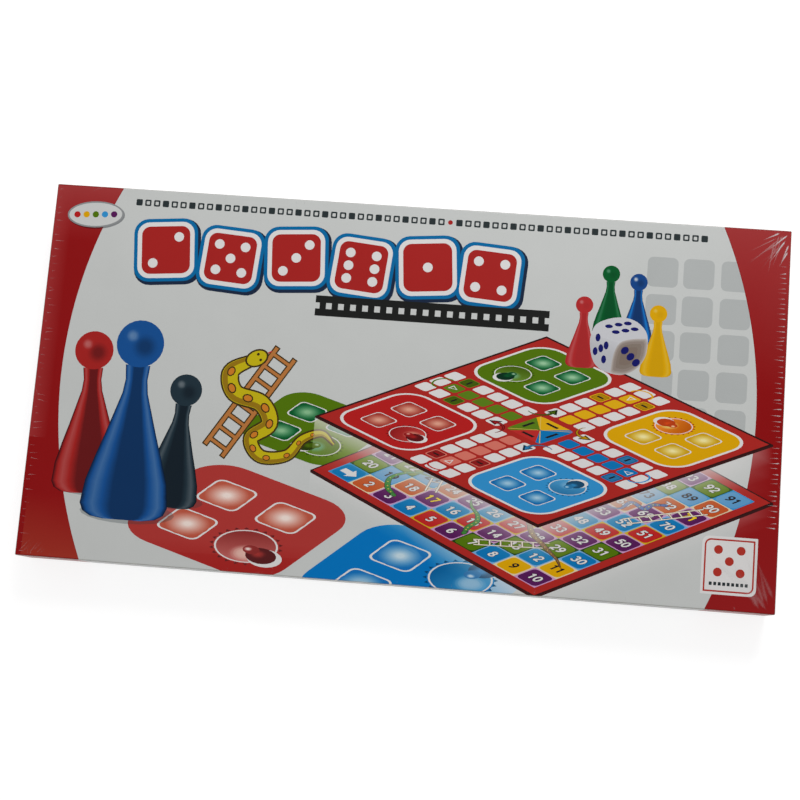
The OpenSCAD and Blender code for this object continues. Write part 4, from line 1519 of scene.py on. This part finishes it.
class GAME_OT_die(PieceOperator, bpy.types.Operator):
    """Builds the die: six faces with hollow pips, folded over one rounded cube"""
    bl_idname, bl_label = "game.die", "Die"

    def build(self, ink, sizes):
        low, high = extent("die")
        half, middle, r = (high[0] - low[0]) / 2, (low + high) / 2, sizes.die_round / MM
        pip, depth, pitch = 1.4, 0.5, 3.6
        turns = {1: ("X", 0), 2: ("X", 90), 3: ("Y", 90), 4: ("Y", -90), 5: ("X", -90), 6: ("X", 180)}
        cubes, faces, inks, uvs, at = [], [], [], [], 0
        stations = half - r + r * np.sin(np.radians(np.linspace(0, 90, 6)))
        lines = [np.array([(sx * s, -half), (sx * s, half)]) for s in stations[:-1] for sx in (-1, 1)]
        lines += [line[:, ::-1] for line in lines]
        for value, (axis, degrees) in turns.items():
            art = Artwork()
            art.add(block(-half, -half, half, half), flat(ink.die_white))
            places = np.array(PIPS[value], float) * pitch
            for x, y in places:
                for share in (1.12, 1.0, 0.7, 0.35):
                    tone = ink.die_white if share > 1 else ink.die_pip
                    art.add(ring(x, y, pip * share, steps=20), flat(tone))
            flat_points, triangles, colour = split_sheet(block(-half, -half, half, half), lines, art.shapes)
            cube = np.c_[flat_points, np.full(len(flat_points), half)]
            core = np.clip(cube, -(half - r), half - r)
            away = cube - core
            cube = core + away / np.maximum(np.linalg.norm(away, axis=1, keepdims=True), 1e-9) * r
            near = np.min(np.linalg.norm(flat_points[:, None] - places[None], axis=2), axis=1)
            cube[:, 2] -= depth * np.clip(1 - (near / pip) ** 2, 0, 1) ** 0.8
            cubes.append(cube @ np.array(Matrix.Rotation(math.radians(degrees), 3, axis)).T)
            faces.append(triangles + at)
            inks.append(colour)
            column, line = divmod(value - 1, 2)
            uvs.append((flat_points + half) / (2 * half) * (0.3, 0.45) + (column * 0.33, line * 0.5))
            at += len(cube)
        points, triangles = np.vstack(cubes) + middle, np.vstack(faces)
        piece = make_piece("rounded_die", points, [triangles], die_finish("die_plastic"))
        attach_ink(piece, np.concatenate(inks), np.vstack(uvs), triangles)
        weld(piece)
        seat(piece, "die", "die")


class GAME_OT_shaker(PieceOperator, bpy.types.Operator):
    """Turns the shaker cup: bead at the mouth, ribs, tapered wall and a recessed foot"""
    bl_idname, bl_label = "game.shaker", "Shaker cup"

    def build(self, ink, sizes):
        low, high = extent("shaker_cup")
        long, rim = high[0] - low[0], (high[2] - low[2]) / 2
        bead, foot, wall, slack = 0.8, 11.2, 1.3, 0.02
        mouth = rim - bead

        def cone(h):
            """The radius of the plain wall at a distance from the mouth."""
            return mouth + (foot - mouth) * h / long
        outer = [(cone(2 * bead) - slack, 2 * bead)]
        for start in (6.0, 9.0, 31.5, 34.5):
            outer += [(cone(start) - slack, start), (cone(start + 0.3) - 0.3, start + 0.4),
                      (cone(start + 1) - 0.32, start + 1.1), (cone(start + 1.5) - slack, start + 1.5)]
        base = rounded_edge(1.0, (foot - 1.0, long - 1.0), 0, 90)
        inside = [(0, long - 3.4), (foot - wall - 1.6, long - 3.4), (foot - wall - 0.3, long - 4.6),
                  (mouth - wall + 0.1, 2.0)]
        profile = np.vstack([inside, rounded_edge(bead, (mouth, bead), -180, 60), outer, base,
                             [(foot - 2.6, long), (foot - 3.4, long - 1.2), (0, long - 1.2)]])
        points = lathe(profile, 72, (low[0], (low[1] + high[1]) / 2, (low[2] + high[2]) / 2), "x")
        cup = make_piece("turned_cup", points, [grid_faces(len(profile), 72, True)],
                         moulded_finish("cup_plastic", ink.pawn_red, 0.24))
        weld(cup)
        seat(cup, "shaker_cup", "shaker_cup")


class GAME_OT_card(PieceOperator, bpy.types.Operator):
    """Gives the greyboard of the box and the board its finish"""
    bl_idname, bl_label = "game.card", "Greyboard"

    def build(self, ink, sizes):
        finish = card_finish("greyboard", ink.greyboard)
        for node in ("lid_shell", "base_shell", "board_core_lower", "board_core_upper"):
            mesh = frame["nodes"][node].data
            mesh.materials.clear()
            mesh.materials.append(finish)


class GAME_OT_stage(bpy.types.Operator):
    """Sets the floor, the lamps, the sky and the camera"""
    bl_idname, bl_label = "game.stage", "Stage"
    bl_options = {"REGISTER", "UNDO"}

    def execute(self, context):
        stage = context.scene.game_stage
        context.scene.view_settings.view_transform = "Standard"
        self.floor(stage)
        self.sky(context.scene, stage)
        self.lamp("key", (0.22, 0.95, 0.96), stage.key, 0.7)
        self.lamp("fill", (-1.2, -1.0, 0.7), stage.fill, 0.7)
        self.camera(context.scene, stage)
        return {"FINISHED"}

    def floor(self, stage):
        """A pale floor that shows white where nothing shades it, by light that only a look at it finds."""
        size, below = 6000.0, -0.3
        f = Finish("floor")
        f.tree.nodes.remove(f.shader)
        diffuse = f.node("ShaderNodeBsdfDiffuse", {}, {"Color": light(stage.floor)})
        path = f.node("ShaderNodeLightPath").socket.node
        camera, glossy, clear = (Wire(f, path.outputs[name]) for name in
                                 ("Is Camera Ray", "Is Glossy Ray", "Is Transmission Ray"))
        shine = f.node("ShaderNodeEmission", {},
                       {"Color": (1, 1, 1, 1), "Strength": (camera + glossy + clear) * stage.glare})
        total = f.node("ShaderNodeAddShader", {}, {0: diffuse, 1: shine})
        f.tree.links.new(total.socket, f.tree.nodes["Material Output"].inputs["Surface"])
        corners = np.c_[block(-size, -size, size, size), np.full(4, below)]
        make_piece("floor", corners, [np.array([[0, 1, 2, 3]])], f.material, smooth=False)

    def sky(self, scene, stage):
        """An even sky, which glossy surfaces see white near the horizon and dim overhead."""
        world = bpy.data.worlds.new("sky")
        world.use_nodes = True
        scene.world = world
        nodes, links = world.node_tree.nodes, world.node_tree.links
        place = nodes.new("ShaderNodeTexCoord")
        split = nodes.new("ShaderNodeSeparateXYZ")
        links.new(place.outputs["Generated"], split.inputs[0])
        ramp = nodes.new("ShaderNodeMapRange")
        ramp.interpolation_type = "SMOOTHSTEP"
        heights = {"From Min": 0.3, "From Max": 0.8, "To Min": 1.0, "To Max": stage.zenith}
        for name, value in heights.items():
            ramp.inputs[name].default_value = value
        links.new(split.outputs["Z"], ramp.inputs["Value"])
        path = nodes.new("ShaderNodeLightPath")
        shade = nodes.new("ShaderNodeMix")
        links.new(path.outputs["Is Diffuse Ray"], shade.inputs[0])
        links.new(ramp.outputs[0], shade.inputs[2])
        shade.inputs[3].default_value = stage.sky
        links.new(shade.outputs[0], nodes["Background"].inputs["Strength"])
        nodes["Background"].inputs["Color"].default_value = (1, 1, 1, 1)

    def lamp(self, name, place, power, size):
        """A square area lamp that looks at the origin."""
        data = bpy.data.lights.new(name, "AREA")
        data.energy, data.size = power, size
        lamp = bpy.data.objects.new(name, data)
        lamp.location = place
        lamp.rotation_euler = (-Vector(place)).to_track_quat("-Z", "Y").to_euler()
        bpy.context.scene.collection.objects.link(lamp)

    def camera(self, scene, stage):
        """The photograph's view: almost straight down, a little from the front and the right."""
        data = bpy.data.cameras.new("camera")
        data.lens, data.sensor_width, data.clip_start, data.clip_end = stage.lens, 36.0, 0.01, 50.0
        camera = bpy.data.objects.new("camera", data)
        right, up = Vector((0.99559, 0.08021, -0.04874)), Vector((-0.07187, 0.98548, 0.15383))
        back = right.cross(up).normalized()
        turn = Matrix((right, up, back)).transposed().to_4x4()
        lid_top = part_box("film_upper")[1].z
        camera.matrix_world = Matrix.Translation((0.06186, -0.16618, 1.05837 + lid_top)) @ turn
        scene.collection.objects.link(camera)
        scene.camera = camera


class GAME_PT_panel(bpy.types.Panel):
    """Lists the pieces with their sizes and colours"""
    bl_idname, bl_label = "GAME_PT_panel", "Snakes and ladders set"
    bl_space_type, bl_region_type, bl_category = "VIEW_3D", "UI", "Board game"

    def draw(self, context):
        for operator in OPERATORS:
            self.layout.operator(operator.bl_idname)
        for label, name in (("Sizes", "game_sizes"), ("Stage", "game_stage"), ("Colours", "game_inks")):
            box, group = self.layout.box(), getattr(context.scene, name)
            box.label(text=label)
            for prop in group.__annotations__:
                box.prop(group, prop)


OPERATORS = (GAME_OT_lid_print, GAME_OT_base_print, GAME_OT_film, GAME_OT_board, GAME_OT_tray,
             GAME_OT_pawns, GAME_OT_die, GAME_OT_shaker, GAME_OT_card, GAME_OT_stage)
GROUPS = {"game_inks": GameInks, "game_sizes": GameSizes, "game_stage": GameStage}


def register():
    for kind in (*GROUPS.values(), *OPERATORS, GAME_PT_panel):
        bpy.utils.register_class(kind)
    for name, group in GROUPS.items():
        setattr(bpy.types.Scene, name, bpy.props.PointerProperty(type=group))


def unregister():
    for name in GROUPS:
        delattr(bpy.types.Scene, name)
    for kind in (GAME_PT_panel, *OPERATORS, *GROUPS.values()):
        bpy.utils.unregister_class(kind)


def main():
    register()
    for operator in OPERATORS:
        category, name = operator.bl_idname.split(".")
        getattr(getattr(bpy.ops, category), name)()


if __name__ == "__main__":
    main()
